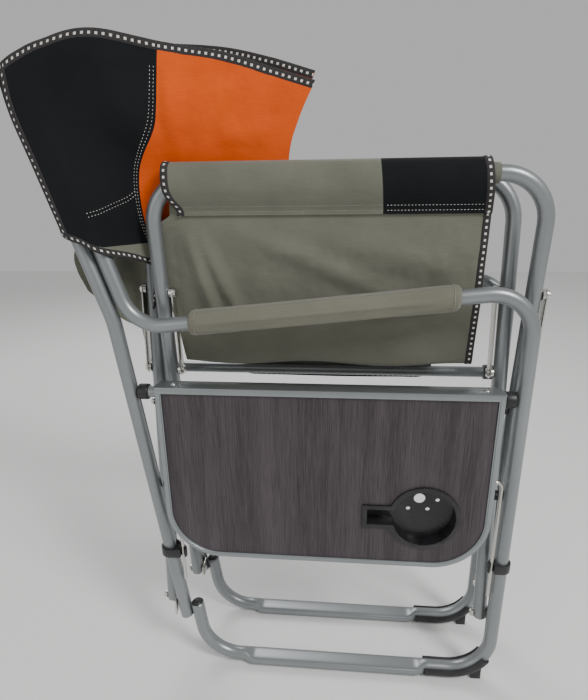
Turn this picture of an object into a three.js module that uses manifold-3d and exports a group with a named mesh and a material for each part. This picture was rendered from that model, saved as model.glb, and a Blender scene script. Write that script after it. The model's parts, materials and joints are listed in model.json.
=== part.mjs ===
// Folding director chair with a drop-down side table, in millimetres, +Z up.
// The chair stands folded. Its front faces -Y, and the table hangs on its -X side.
// Each side frame is a bent tube loop with a reclining back post. Two inverted U tubes cross
// between the side frames and carry the seat cloth. Opening the chair swings the U tubes apart.
import * as THREE from 'three';
import { mergeVertices } from 'three/addons/utils/BufferGeometryUtils.js';
import Module from 'manifold-3d';

const manifoldLib = await Module();
manifoldLib.setup();

// ---- driving dimensions ----
const gap = 0.3;
const tubeRadius = 10;
const tubeWall = 1.5;
const sideSpacing = 104;
const standOffset = { x: -45.6, y: -50.9 };

// Side frame, outline in the YZ plane.
const sleeveWall = 1.8;
const runnerHeight = tubeRadius + gap + sleeveWall;
const postY = -255;
const armTopAtPost = 622;
const armSlope = -0.105;
const legFoot = { y: 224, z: 88 };
const legSlope = 0.127;
const backKinkZ = 577;
const backSlope = 0.3054;
const backTopZ = 868;
const riserTopZ = 770;
const tubePitch = 20.9;
const riserPitch = 24;
const loopEndZ = 112;
const runnerBend = 62;
const armBend = 52;

// Crossbar between the front post and the rear leg, and the rests for the raised table's strut.
const crossbarRadius = 8;
const crossbarZ = 477;
const socketRadius = 11;
const socketLength = 14;
const strutRest = { inset: 8, z: 327, radius: 7, front: 14, rear: 27 };

// Seat U frames.
const pivotHeight = 105;
const pivotInset = 21;
const legLength = 656;
const lowerLegLength = 336;
const foldedTilt = Math.asin((sideSpacing - 2 * pivotInset) / (2 * lowerLegLength));
const seatBend = 60;
const nearLegs = { front: -263.5, rear: 229 };
const farLegs = { front: -240.5, rear: 252 };
const boltRadius = 2.8;
const tipStart = 4.8;
const nearX = 0;
const farX = sideSpacing;
const nearFootX = nearX + pivotInset;
const farFootX = farX - pivotInset;

// Side table, measured from its hinge on the near crossbar.
const table = {
  front: -225,
  rear: 230,
  above: 18,
  below: 250,
  thickness: 16,
  cornerRadius: 78,
  edging: 9,
  innerFace: -12.5,
};
const cup = {
  y: -134.5,
  drop: 168,
  radius: 43,
  flange: 6,
  depth: 24,
  wall: 2,
  slotReach: 78,
  slotHalf: 12,
  drains: [[4, 18, 8], [-21, 16, 3], [19, 1, 3], [-8, 1, 3]],
};
const strut = { radius: 2.5, drop: 120, inset: 6, length: 192.4, front: -240, rear: 219 };
const clipHeight = 215;

// Cloth panels, as plain plates.
const clothThickness = 3;
const seatCloth = { front: -184, rear: 176, width: 210 };
const sleeveInset = 3;
const backCloth = {
  midZ: 780,
  rise: { low: 72, high: 95 },
  tilt: 9 * Math.PI / 180,
  nearEnd: { ahead: 52, in: 41 },
  farEnd: { ahead: 200, in: 46 },
};
const pad = { from: -163, to: 182, radius: 17 };

// ---- materials ----
const paint = new THREE.MeshStandardMaterial({ color: 0x9aa3a6, roughness: 0.38, metalness: 0.7 });
const zinc = new THREE.MeshStandardMaterial({ color: 0xc9c7bd, roughness: 0.25, metalness: 1 });
const aluminium = new THREE.MeshStandardMaterial({ color: 0xb4babb, roughness: 0.4, metalness: 0.8 });
const blackPlastic = new THREE.MeshStandardMaterial({ color: 0x17181a, roughness: 0.5, metalness: 0 });
const laminate = new THREE.MeshStandardMaterial({ color: 0x4d4448, roughness: 0.55, metalness: 0 });
const oliveCloth = new THREE.MeshStandardMaterial({ color: 0x7c8272, roughness: 0.9, metalness: 0 });
const blackCloth = new THREE.MeshStandardMaterial({ color: 0x15181b, roughness: 0.9, metalness: 0 });

// ---- helpers ----
const vec = (x, y, z) => new THREE.Vector3(x, y, z);

// A route of straights joined by round bends. Sections fall only where the route needs them.
class BentRoute extends THREE.Curve {
  constructor(corners, bends, stepAngle = Math.PI / 10) {
    super();
    this.places = [{ at: corners[0], along: corners[1].clone().sub(corners[0]).normalize() }];
    for (let i = 1; i < corners.length - 1; i += 1) {
      this.addBend(corners[i - 1], corners[i], corners[i + 1], bends[i - 1], stepAngle);
    }
    const last = corners.length - 1;
    const along = corners[last].clone().sub(corners[last - 1]).normalize();
    this.places.push({ at: corners[last], along });
  }

  addBend(before, corner, after, radius, stepAngle) {
    const inward = corner.clone().sub(before).normalize();
    const outward = after.clone().sub(corner).normalize();
    const turn = inward.angleTo(outward);
    const axis = inward.clone().cross(outward).normalize();
    const start = corner.clone().addScaledVector(inward, -radius * Math.tan(turn / 2));
    const toCentre = axis.clone().cross(inward);
    const centre = start.clone().addScaledVector(toCentre, radius);
    const steps = Math.max(1, Math.ceil(turn / stepAngle));
    for (let k = 0; k <= steps; k += 1) {
      const angle = turn * k / steps;
      const arm = toCentre.clone().multiplyScalar(-radius).applyAxisAngle(axis, angle);
      const along = inward.clone().applyAxisAngle(axis, angle);
      this.places.push({ at: centre.clone().add(arm), along });
    }
  }

  get steps() {
    return this.places.length - 1;
  }

  // Ends the route part of the way round its last bend.
  cutBack(count) {
    this.places.length -= count;
    return this;
  }

  place(u) {
    return this.places[Math.round(u * this.steps)];
  }

  getPointAt(u, target = new THREE.Vector3()) {
    return target.copy(this.place(u).at);
  }

  getTangentAt(u, target = new THREE.Vector3()) {
    return target.copy(this.place(u).along);
  }
}

function disc(radius, holeRadius = 0) {
  const section = new THREE.Shape();
  section.absarc(0, 0, radius, 0, 2 * Math.PI);
  if (holeRadius > 0) {
    const hole = new THREE.Path();
    hole.absarc(0, 0, holeRadius, 0, 2 * Math.PI);
    section.holes.push(hole);
  }
  return section;
}

function sweep(corners, bends, radius, holeRadius = 0, sides = 12) {
  const route = new BentRoute(corners, bends);
  const settings = { steps: route.steps, extrudePath: route, curveSegments: sides / 2 };
  return new THREE.ExtrudeGeometry(disc(radius, holeRadius), settings);
}

function tube(corners, bends) {
  return sweep(corners, bends, tubeRadius, tubeRadius - tubeWall);
}

function ringBetween(start, end, radius, holeRadius, sides = 20) {
  return sweep([start, end], [], radius, holeRadius, sides);
}

// A plate whose outline lies in the YZ plane, from x to x + thickness.
function plateAcrossX(outline, x, thickness) {
  const geometry = new THREE.ExtrudeGeometry(outline, { depth: thickness, bevelEnabled: false });
  const frame = new THREE.Matrix4().makeBasis(vec(0, 1, 0), vec(0, 0, 1), vec(1, 0, 0));
  return geometry.applyMatrix4(frame.setPosition(x, 0, 0));
}

// A plate whose outline lies in the XZ plane, from y to y + thickness.
function plateAcrossY(outline, y, thickness) {
  const geometry = new THREE.ExtrudeGeometry(outline, { depth: thickness, bevelEnabled: false });
  const frame = new THREE.Matrix4().makeBasis(vec(0, 0, 1), vec(1, 0, 0), vec(0, 1, 0));
  return geometry.applyMatrix4(frame.setPosition(0, y, 0));
}

// A pin along Y.
function pin(x, y, z, radius, length, sides = 16) {
  return new THREE.CylinderGeometry(radius, radius, length, sides).translate(x, y, z);
}

// A bolt along Y. Its head sits at headY, and a nut closes the far end at nutY.
function bolt(x, z, headY, nutY) {
  const way = Math.sign(nutY - headY);
  const grip = Math.abs(nutY - headY);
  const profile = [
    [0, -3], [5.5, -3], [6.5, -1.5], [6.5, 0], [boltRadius, 0],
    [boltRadius, grip], [5.6, grip], [5.6, grip + 4], [0, grip + 4],
  ];
  const geometry = new THREE.LatheGeometry(profile.map(([r, h]) => new THREE.Vector2(r, h)), 12);
  if (way < 0) geometry.rotateX(Math.PI);
  return geometry.translate(x, headY, z);
}

// Turns a geometry's faces outward if they face inward.
function facingOut(geometry) {
  const flat = geometry.index ? geometry.toNonIndexed() : geometry;
  const points = flat.attributes.position;
  const [a, b, c] = [vec(0, 0, 0), vec(0, 0, 0), vec(0, 0, 0)];
  let volume = 0;
  for (let i = 0; i < points.count; i += 3) {
    a.fromBufferAttribute(points, i);
    b.fromBufferAttribute(points, i + 1);
    c.fromBufferAttribute(points, i + 2);
    volume += a.dot(b.cross(c));
  }
  if (volume > 0) return flat;
  for (let i = 0; i < points.count; i += 3) {
    b.fromBufferAttribute(points, i + 1);
    c.fromBufferAttribute(points, i + 2);
    points.setXYZ(i + 1, c.x, c.y, c.z);
    points.setXYZ(i + 2, b.x, b.y, b.z);
  }
  return flat;
}

function toManifold(geometry) {
  const bare = facingOut(geometry);
  bare.deleteAttribute('uv');
  bare.deleteAttribute('normal');
  const welded = mergeVertices(bare, 1e-4);
  const mesh = new manifoldLib.Mesh({
    numProp: 3,
    vertProperties: new Float32Array(welded.attributes.position.array),
    triVerts: new Uint32Array(welded.index.array),
  });
  return new manifoldLib.Manifold(mesh);
}

// Cuts round holes along Y through a geometry, at the given places in the XZ plane.
function drilled(geometry, places, radius) {
  const holes = places.map(({ x, z }) => toManifold(pin(x, 0, z, radius, 700)));
  return fromManifold(holes.reduce((solid, hole) => solid.subtract(hole), toManifold(geometry)));
}

// One named piece.
function piece(name, geometry, material) {
  const solid = facingOut(geometry);
  solid.deleteAttribute('uv');
  solid.computeVertexNormals();
  const mesh = new THREE.Mesh(solid, material);
  mesh.name = name;
  return mesh;
}

function manifoldPrism(outline, from, to, curveSegments = 12) {
  const points = outline.getPoints(curveSegments).map((p) => [p.x, p.y]);
  return manifoldLib.Manifold.extrude([points], to - from).translate([0, 0, from]);
}

function fromManifold(solid) {
  const mesh = solid.getMesh();
  const geometry = new THREE.BufferGeometry();
  geometry.setAttribute('position', new THREE.BufferAttribute(new Float32Array(mesh.vertProperties), 3));
  geometry.setIndex(new THREE.BufferAttribute(new Uint32Array(mesh.triVerts), 1));
  return geometry;
}

// ---- side frame outline ----
const legY = (z) => legFoot.y + legSlope * (z - legFoot.z);
const backKinkY = legY(backKinkZ);
const backY = (z) => backKinkY + backSlope * (z - backKinkZ);
const riserY = (z) => backY(z) - riserPitch;
const armZ = (y) => armTopAtPost + armSlope * (y - postY);

// The arm line and the riser line meet here.
function armRearCorner() {
  const y = (riserY(0) + backSlope * (armTopAtPost - armSlope * postY)) / (1 - backSlope * armSlope);
  return { y, z: armZ(y) };
}

function loopTube(planeX) {
  const corner = armRearCorner();
  const loopY = (z) => legY(z) - tubePitch;
  const corners = [
    vec(planeX, loopY(loopEndZ), loopEndZ),
    vec(planeX, loopY(runnerHeight), runnerHeight),
    vec(planeX, postY, runnerHeight),
    vec(planeX, postY, armTopAtPost),
    vec(planeX, corner.y, corner.z),
    vec(planeX, riserY(riserTopZ), riserTopZ),
  ];
  return tube(corners, [runnerBend, runnerBend, armBend, armBend]);
}

function backPost(planeX) {
  const corners = [
    vec(planeX, legFoot.y, legFoot.z),
    vec(planeX, backKinkY, backKinkZ),
    vec(planeX, backY(backTopZ), backTopZ),
  ];
  return tube(corners, [150]);
}

// A plug with a low head that closes a tube's open end. It points along `out`, and its stem is `depth` long.
function endPlug(end, out, depth) {
  const bore = tubeRadius - tubeWall - gap;
  const profile = [
    [0, -depth], [bore, -depth], [bore, gap], [tubeRadius - 0.5, gap],
    [tubeRadius - 1.1, 1.5], [tubeRadius - 4, 4], [0, 5.2],
  ];
  const geometry = new THREE.LatheGeometry(profile.map(([r, h]) => new THREE.Vector2(r, h)), 12);
  const turn = new THREE.Quaternion().setFromUnitVectors(vec(0, 1, 0), out.clone().normalize());
  return geometry.applyQuaternion(turn).translate(end.x, end.y, end.z);
}

function loopEndPlug(planeX) {
  return endPlug(vec(planeX, legY(loopEndZ) - tubePitch, loopEndZ), vec(0, legSlope, 1), 12);
}

// ---- foot sleeve: a trough under the front bend, with a square pad below it ----
const bendCentre = { y: postY + runnerBend, z: runnerHeight + runnerBend };

function footTrough(planeX) {
  const inner = tubeRadius + gap;
  const rim = Math.PI / 9;
  const trough = new THREE.Shape();
  const edge = Math.PI / 2 + rim;
  trough.absarc(0, 0, inner + sleeveWall, -edge, edge, false);
  trough.absarc(0, 0, inner, edge, -edge, true);
  const route = new BentRoute([
    vec(planeX, postY + 98, runnerHeight),
    vec(planeX, postY, runnerHeight),
    vec(planeX, postY, bendCentre.z + 1),
  ], [runnerBend]).cutBack(3);
  return new THREE.ExtrudeGeometry(trough, { steps: route.steps, extrudePath: route, curveSegments: 6 });
}

function footPad(planeX) {
  const reach = runnerBend + tubeRadius + gap + sleeveWall / 2;
  const sleeveZ = (y) => bendCentre.z - Math.sqrt(reach ** 2 - (y - bendCentre.y) ** 2);
  const [front, rear] = [postY + 10, postY + 25];
  const outline = new THREE.Shape([
    new THREE.Vector2(front, 0),
    new THREE.Vector2(rear, 0),
    new THREE.Vector2(rear, sleeveZ(rear)),
    new THREE.Vector2(front, sleeveZ(front)),
  ]);
  return plateAcrossX(outline, planeX - 7, 14);
}

function footSleeve(planeX) {
  return fromManifold(toManifold(footTrough(planeX)).add(toManifold(footPad(planeX))));
}

// ---- crossbar, and the blocks against the post and the leg ----
const innerPostY = postY + tubeRadius + gap;
const innerLegY = (z) => legY(z) - (tubeRadius + gap) * Math.hypot(1, legSlope) - legSlope * socketRadius;

function crossbar(planeX, z) {
  const front = vec(planeX, innerPostY + socketLength + gap, z);
  const rear = vec(planeX, innerLegY(z) - socketLength - gap, z);
  return ringBetween(front, rear, crossbarRadius, crossbarRadius - tubeWall, 12);
}

// A round black block that stands against the inner side of the post or the leg.
function postBlock(x, z, end, radius, length) {
  const y = end === 'front' ? innerPostY + length / 2 : innerLegY(z) - length / 2;
  return pin(x, y, z, radius, length);
}

function strutRestBlock(end) {
  return postBlock(nearX + strutRest.inset, strutRest.z, end, strutRest.radius, strutRest[end]);
}

// ---- hook clips that hold the stowed strut against the post and the leg ----
function hookClip(postCentreY, rodY, postLean) {
  const height = 14;
  const { Manifold } = manifoldLib;
  const low = clipHeight - height / 2;
  const rodX = table.innerFace + strut.inset;
  const drum = (x, y, radius) => Manifold.cylinder(height, radius, radius, 20).translate([x, y, low]);
  const clear = (x, y, radius) => (
    Manifold.cylinder(height + 2, radius, radius, 20).translate([x, y, low - 1])
  );
  const rodRadius = strut.radius + 2 * gap;
  const slotSize = [20, 2 * rodRadius, height + 2];
  const mouth = Manifold.cube(slotSize).translate([rodX - 20, rodY - rodRadius, low - 1]);
  const bore = tubeRadius + 2 * gap + postLean * height / 2;
  const body = Manifold.hull([drum(0, postCentreY, bore + 2.6), drum(rodX, rodY, rodRadius + 3)]);
  const cut = clear(0, postCentreY, bore).add(clear(rodX, rodY, rodRadius)).add(mouth);
  return fromManifold(body.subtract(cut));
}

// ---- pivots between the side frames and the seat frames ----
// A lug is a flat plate that stands out from a post and carries a seat leg on its bolt.
function lug(planeX, inward, y, thickness, from) {
  const outline = new THREE.Shape();
  const reach = pivotInset;
  outline.moveTo(pivotHeight - 13, inward * from);
  outline.lineTo(pivotHeight - 11, inward * reach);
  outline.absarc(pivotHeight, inward * reach, 11, Math.PI, 0, inward > 0);
  outline.lineTo(pivotHeight + 13, inward * from);
  const hole = new THREE.Path();
  hole.absarc(pivotHeight, inward * reach, 2.8 + 2 * gap, 0, 2 * Math.PI);
  outline.holes.push(hole);
  return plateAcrossY(outline, y, thickness).translate(planeX, 0, 0);
}

// ---- seat U frames: inverted U tubes, each leaning from one side frame's foot to the other rail ----
// `lean` is the way that the top leans, and `footX` is the X of its bottom pivots.
function seatLegPoint(footX, lean, along) {
  return {
    x: footX + lean * along * Math.sin(foldedTilt),
    z: pivotHeight + along * Math.cos(foldedTilt),
  };
}

function seatTube(footX, lean, legs) {
  const tip = seatLegPoint(footX, lean, -tipStart);
  const rail = seatLegPoint(footX, lean, legLength);
  const corners = [
    vec(tip.x, legs.front, tip.z),
    vec(rail.x, legs.front, rail.z),
    vec(rail.x, legs.rear, rail.z),
    vec(tip.x, legs.rear, tip.z),
  ];
  return tube(corners, [seatBend, seatBend]);
}

function legTip(footX, lean, y) {
  const tip = seatLegPoint(footX, lean, -tipStart);
  const foot = seatLegPoint(footX, lean, -tipStart - 1);
  return endPlug(vec(tip.x, y, tip.z), vec(foot.x - tip.x, 0, foot.z - tip.z), 1);
}

function railSleeve(footX, lean, legs) {
  const rail = seatLegPoint(footX, lean, legLength);
  const start = vec(rail.x, legs.front + seatBend + sleeveInset, rail.z);
  const end = vec(rail.x, legs.rear - seatBend - sleeveInset, rail.z);
  return ringBetween(start, end, tubeRadius + gap + 2, tubeRadius + gap, 16);
}

// A flat strap along an upper leg. Two bolts hold it, and a spacer drum sits under each.
const strap = { top: 506, bottom: 390, width: 16, thickness: 2, spacer: 4, headHeight: 3 };

function legStrap(footX, lean, legCentreY, way) {
  const length = strap.top - strap.bottom;
  const faceY = legCentreY + way * (tubeRadius + gap);
  const outline = new THREE.Shape();
  outline.absarc(0, 0, strap.width / 2, Math.PI / 2, 1.5 * Math.PI, false);
  outline.absarc(length, 0, strap.width / 2, 1.5 * Math.PI, 2.5 * Math.PI, false);
  const plate = plateAcrossY(outline, way > 0 ? 0 : -strap.thickness, strap.thickness);
  const foot = seatLegPoint(footX, lean, strap.bottom);
  plate.rotateY(lean * foldedTilt).translate(foot.x, faceY + way * strap.spacer, foot.z);
  let solid = toManifold(plate);
  for (const along of [strap.bottom, strap.top]) {
    const at = seatLegPoint(footX, lean, along);
    const spacerLength = strap.spacer + strap.thickness / 2;
    const headLength = strap.headHeight + strap.thickness / 2;
    const headY = faceY + way * (strap.spacer + strap.thickness / 2 + headLength / 2);
    solid = solid.add(toManifold(pin(at.x, faceY + way * spacerLength / 2, at.z, 7, spacerLength)));
    solid = solid.add(toManifold(pin(at.x, headY, at.z, 6, headLength)));
  }
  return fromManifold(solid);
}

// A loose ring along Y around a bolt, from y to y + length.
function spacerRing(x, z, y, length) {
  return ringBetween(vec(x, y, z), vec(x, y + length, z), 7, boltRadius + 2 * gap, 12);
}

// ---- side table ----
const hingeZ = crossbarZ;
const tableTopZ = hingeZ + table.above;
const tableFootZ = hingeZ - table.below;
const outerFace = table.innerFace - table.thickness;

// The table's outline, moved inward by `inset`. Its outer corners are round.
function tableOutline(inset) {
  const radius = table.cornerRadius - inset;
  const [front, rear] = [table.front + inset, table.rear - inset];
  const [top, foot] = [tableTopZ - inset, tableFootZ + inset];
  const outline = new THREE.Shape();
  outline.moveTo(front, top);
  outline.lineTo(front, foot + radius);
  outline.absarc(front + radius, foot + radius, radius, Math.PI, 1.5 * Math.PI, false);
  outline.absarc(rear - radius, foot + radius, radius, 1.5 * Math.PI, 2 * Math.PI, false);
  outline.lineTo(rear, top);
  outline.closePath();
  return outline;
}

// A round cup well with a straight slot opening off its rear side.
function cupOutline(grow) {
  const centreZ = hingeZ - cup.drop;
  const radius = cup.radius + grow;
  const half = cup.slotHalf + grow;
  const end = cup.y + cup.slotReach + grow;
  const mouth = Math.asin(half / radius);
  const outline = new THREE.Shape();
  outline.moveTo(end, centreZ - half);
  outline.lineTo(end, centreZ + half);
  outline.absarc(cup.y, centreZ, radius, mouth, 2 * Math.PI - mouth, false);
  outline.closePath();
  return outline;
}

function tableEdging() {
  const outline = tableOutline(0);
  outline.holes.push(tableOutline(table.edging));
  return plateAcrossX(outline, outerFace, table.thickness);
}

function tablePanel() {
  const outline = tableOutline(table.edging + gap);
  outline.holes.push(cupOutline(cup.wall + gap));
  return plateAcrossX(outline, outerFace + 1.5, table.thickness - 3);
}

function cupHolder() {
  const rim = manifoldPrism(cupOutline(cup.flange), 0, 2.5);
  const bowl = manifoldPrism(cupOutline(cup.wall), 1, cup.depth);
  const hollow = manifoldPrism(cupOutline(0), -1, cup.depth - cup.wall);
  const centreZ = hingeZ - cup.drop;
  const drains = cup.drains.map(([y, z, radius]) => (
    manifoldLib.Manifold.cylinder(cup.depth + 2, radius, radius, 16).translate([cup.y + y, centreZ + z, 0])
  ));
  const solid = drains.reduce((body, hole) => body.subtract(hole), rim.add(bowl).subtract(hollow));
  const frame = new THREE.Matrix4().makeBasis(vec(0, 1, 0), vec(0, 0, 1), vec(1, 0, 0));
  const rimX = outerFace + 1.5 - gap - 2.5;
  return fromManifold(solid).applyMatrix4(frame.setPosition(rimX, 0, 0));
}

// A clamp that turns on the near crossbar and is screwed under the table.
function hingeClamp(y) {
  const inner = crossbarRadius + gap;
  const outer = inner + 3;
  const flangeX = table.innerFace + gap;
  const back = flangeX + 2.5;
  const reach = Math.sqrt(outer ** 2 - back ** 2);
  const start = Math.atan2(back, reach);
  const outline = new THREE.Shape();
  outline.moveTo(table.above - 2, flangeX);
  outline.lineTo(table.above - 2, back);
  outline.lineTo(reach, back);
  outline.absarc(0, 0, outer, start, Math.PI - start, false);
  outline.lineTo(-24, back);
  outline.lineTo(-24, flangeX);
  outline.closePath();
  const hole = new THREE.Path();
  hole.absarc(0, 0, inner, 0, 2 * Math.PI);
  outline.holes.push(hole);
  return plateAcrossY(outline, y - 13, 26).translate(0, 0, hingeZ);
}

// ---- strut: a bent rod hinged under the table, whose ends rest on the strut rests ----
const strutX = table.innerFace + strut.inset;
const strutZ = hingeZ - strut.drop;

function strutRod() {
  const foot = strutZ - strut.length;
  const corners = [
    vec(strutX, strut.front, foot),
    vec(strutX, strut.front, strutZ),
    vec(strutX, strut.rear, strutZ),
    vec(strutX, strut.rear, foot),
  ];
  return sweep(corners, [6, 6], strut.radius, 0, 8);
}

function strutSaddle(y) {
  const { Manifold } = manifoldLib;
  const drum = (radius, length, from) => (
    Manifold.cylinder(length, radius, radius, 16).rotate([-90, 0, 0]).translate([strutX, from, strutZ])
  );
  const from = y - 9;
  const foot = Manifold.cube([2.5, 18, 26]).translate([table.innerFace + gap, from, strutZ - 13]);
  const solid = drum(strut.radius + 2.8, 18, from).add(foot);
  return fromManifold(solid.subtract(drum(strut.radius + gap, 22, from - 2)));
}

// ---- soft parts as plain plates ----
function armPad(planeX) {
  const start = vec(planeX, pad.from, armZ(pad.from));
  const end = vec(planeX, pad.to, armZ(pad.to));
  return ringBetween(start, end, pad.radius, tubeRadius + gap, 16);
}

// Half of the seat: it hangs from a rail when folded, and meets the other half in the middle.
const seatHang = 6.1 * Math.PI / 180;

function seatHalf(footX, lean) {
  const rail = seatLegPoint(footX, lean, legLength);
  const start = tubeRadius + 2 * gap + 2.5;
  const length = seatCloth.width - start;
  const depth = seatCloth.rear - seatCloth.front;
  const plate = new THREE.BoxGeometry(clothThickness, depth, length);
  plate.translate(0, (seatCloth.front + seatCloth.rear) / 2, -start - length / 2);
  return plate.rotateY(lean * seatHang).translate(rail.x, 0, rail.z);
}

// Half of the backrest: it points forward from a back post when folded, inside the seat frame.
function backHalf(planeX, inward) {
  const { nearEnd, farEnd, rise } = backCloth;
  const half = clothThickness / 2;
  const outline = new THREE.Shape([
    new THREE.Vector2(inward * (nearEnd.in - half), -nearEnd.ahead),
    new THREE.Vector2(inward * (farEnd.in - half), -farEnd.ahead),
    new THREE.Vector2(inward * (farEnd.in + half), -farEnd.ahead),
    new THREE.Vector2(inward * (nearEnd.in + half), -nearEnd.ahead),
  ]);
  const plate = new THREE.ExtrudeGeometry(outline, { depth: rise.low + rise.high, bevelEnabled: false });
  plate.translate(0, 0, -rise.low).rotateX(-backCloth.tilt);
  return plate.translate(planeX, backY(backCloth.midZ), backCloth.midZ);
}

function sidePocket(planeX) {
  const [front, rear, foot] = [-156, 141, 462];
  const outline = new THREE.Shape([
    new THREE.Vector2(front, foot),
    new THREE.Vector2(rear, foot),
    new THREE.Vector2(rear, armZ(rear) - pad.radius - 2),
    new THREE.Vector2(front, armZ(front) - pad.radius - 2),
  ]);
  return plateAcrossX(outline, planeX + tubeRadius + 1, 6);
}

// ---- assembly ----
const chair = new THREE.Group();
chair.position.set(standOffset.x, standOffset.y, 0);

function addBody(...pieces) {
  const body = new THREE.Group();
  body.add(...pieces);
  chair.add(body);
}

// A side frame, with the lugs and bolts that carry one seat frame's feet.
function sideFrame(name, planeX, inward, lugs) {
  const pivotX = planeX + inward * pivotInset;
  const pieces = [
    piece(`${name}_loop_tube`, loopTube(planeX), paint),
    piece(`${name}_back_post`, backPost(planeX), paint),
    piece(`${name}_loop_plug`, loopEndPlug(planeX), blackPlastic),
    piece(`${name}_foot_sleeve`, footSleeve(planeX), blackPlastic),
    piece(`${name}_arm_pad`, armPad(planeX), oliveCloth),
    piece(`${name}_crossbar`, crossbar(planeX, crossbarZ), paint),
  ];
  for (const [end, { y, thickness, from, headY, nutY }] of Object.entries(lugs)) {
    const socket = postBlock(planeX, crossbarZ, end, socketRadius, socketLength);
    pieces.push(piece(`${name}_${end}_socket`, socket, blackPlastic));
    pieces.push(piece(`${name}_${end}_lug`, lug(planeX, inward, y, thickness, from), zinc));
    pieces.push(piece(`${name}_${end}_pivot_bolt`, bolt(pivotX, pivotHeight, headY, nutY), zinc));
  }
  return pieces;
}

// Each seat frame stands on one side frame's lugs and carries the other side's seat rail.
function seatFrame(name, footX, lean, legs, way) {
  const pivots = [0, lowerLegLength].map((along) => seatLegPoint(footX, lean, along));
  const seatTubeSolid = drilled(seatTube(footX, lean, legs), pivots, boltRadius + 2 * gap);
  const pieces = [
    piece(`${name}_seat_tube`, seatTubeSolid, paint),
    piece(`${name}_rail_sleeve`, railSleeve(footX, lean, legs), oliveCloth),
  ];
  for (const [end, y] of Object.entries(legs)) {
    pieces.push(piece(`${name}_${end}_leg_tip`, legTip(footX, lean, y), paint));
    pieces.push(piece(`${name}_${end}_leg_strap`, legStrap(footX, lean, y, way), zinc));
  }
  return pieces;
}

// A bolt and a washer where the two seat frames cross.
function scissorPivot(end, at) {
  const reach = tubeRadius + gap;
  const washerY = nearLegs[end] + reach;
  const washerLength = farLegs[end] - nearLegs[end] - 2 * reach;
  return [
    piece(`${end}_scissor_bolt`, bolt(at.x, at.z, nearLegs[end] - reach, farLegs[end] + reach), zinc),
    piece(`${end}_scissor_washer`, spacerRing(at.x, at.z, washerY, washerLength), blackPlastic),
  ];
}

const nearLugs = {
  front: { y: -253.6, thickness: 2.5, from: tubeRadius + gap, headY: -253.9, nutY: -230.2 },
  rear: { y: 238.4, thickness: 3, from: -8, headY: 238.1, nutY: 262.3 },
};
const farLugs = {
  front: { y: -252.9, thickness: 2.5, from: tubeRadius + gap, headY: -250.1, nutY: -273.8 },
  rear: { y: 215.9, thickness: 2.5, from: 8, headY: 215.6, nutY: 239.3 },
};

addBody(
  ...sideFrame('near', nearX, 1, nearLugs),
  piece('front_strut_rest', strutRestBlock('front'), blackPlastic),
  piece('rear_strut_rest', strutRestBlock('rear'), blackPlastic),
  piece('front_hook_clip', hookClip(postY, strut.front, 0), blackPlastic),
  piece('rear_hook_clip', hookClip(legY(clipHeight), strut.rear, legSlope), blackPlastic),
);
addBody(
  ...sideFrame('far', farX, -1, farLugs),
  piece('side_pocket', sidePocket(farX), oliveCloth),
);

const scissor = seatLegPoint(nearFootX, 1, lowerLegLength);
addBody(
  ...seatFrame('far', nearFootX, 1, farLegs, 1),
  ...scissorPivot('front', scissor),
  ...scissorPivot('rear', scissor),
);
addBody(...seatFrame('near', farFootX, -1, nearLegs, -1));

addBody(
  piece('table_edging', tableEdging(), aluminium),
  piece('table_panel', tablePanel(), laminate),
  piece('cup_holder', cupHolder(), blackPlastic),
  piece('front_hinge_clamp', hingeClamp(-150), blackPlastic),
  piece('rear_hinge_clamp', hingeClamp(155), blackPlastic),
  piece('front_strut_saddle', strutSaddle(-174), blackPlastic),
  piece('rear_strut_saddle', strutSaddle(175), blackPlastic),
);
addBody(piece('table_strut', strutRod(), zinc));

addBody(piece('near_seat_half', seatHalf(farFootX, -1), oliveCloth));
addBody(piece('far_seat_half', seatHalf(nearFootX, 1), oliveCloth));
addBody(piece('near_back_half', backHalf(nearX, 1), blackCloth));
addBody(piece('far_back_half', backHalf(farX, -1), blackCloth));

export default chair;
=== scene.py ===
"""A folded director chair with a side table: frame tubes, cloth and materials on the CAD frame."""
import json
import math

import bmesh
import bpy
import numpy as np
from mathutils import Matrix, Vector, noise

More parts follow.
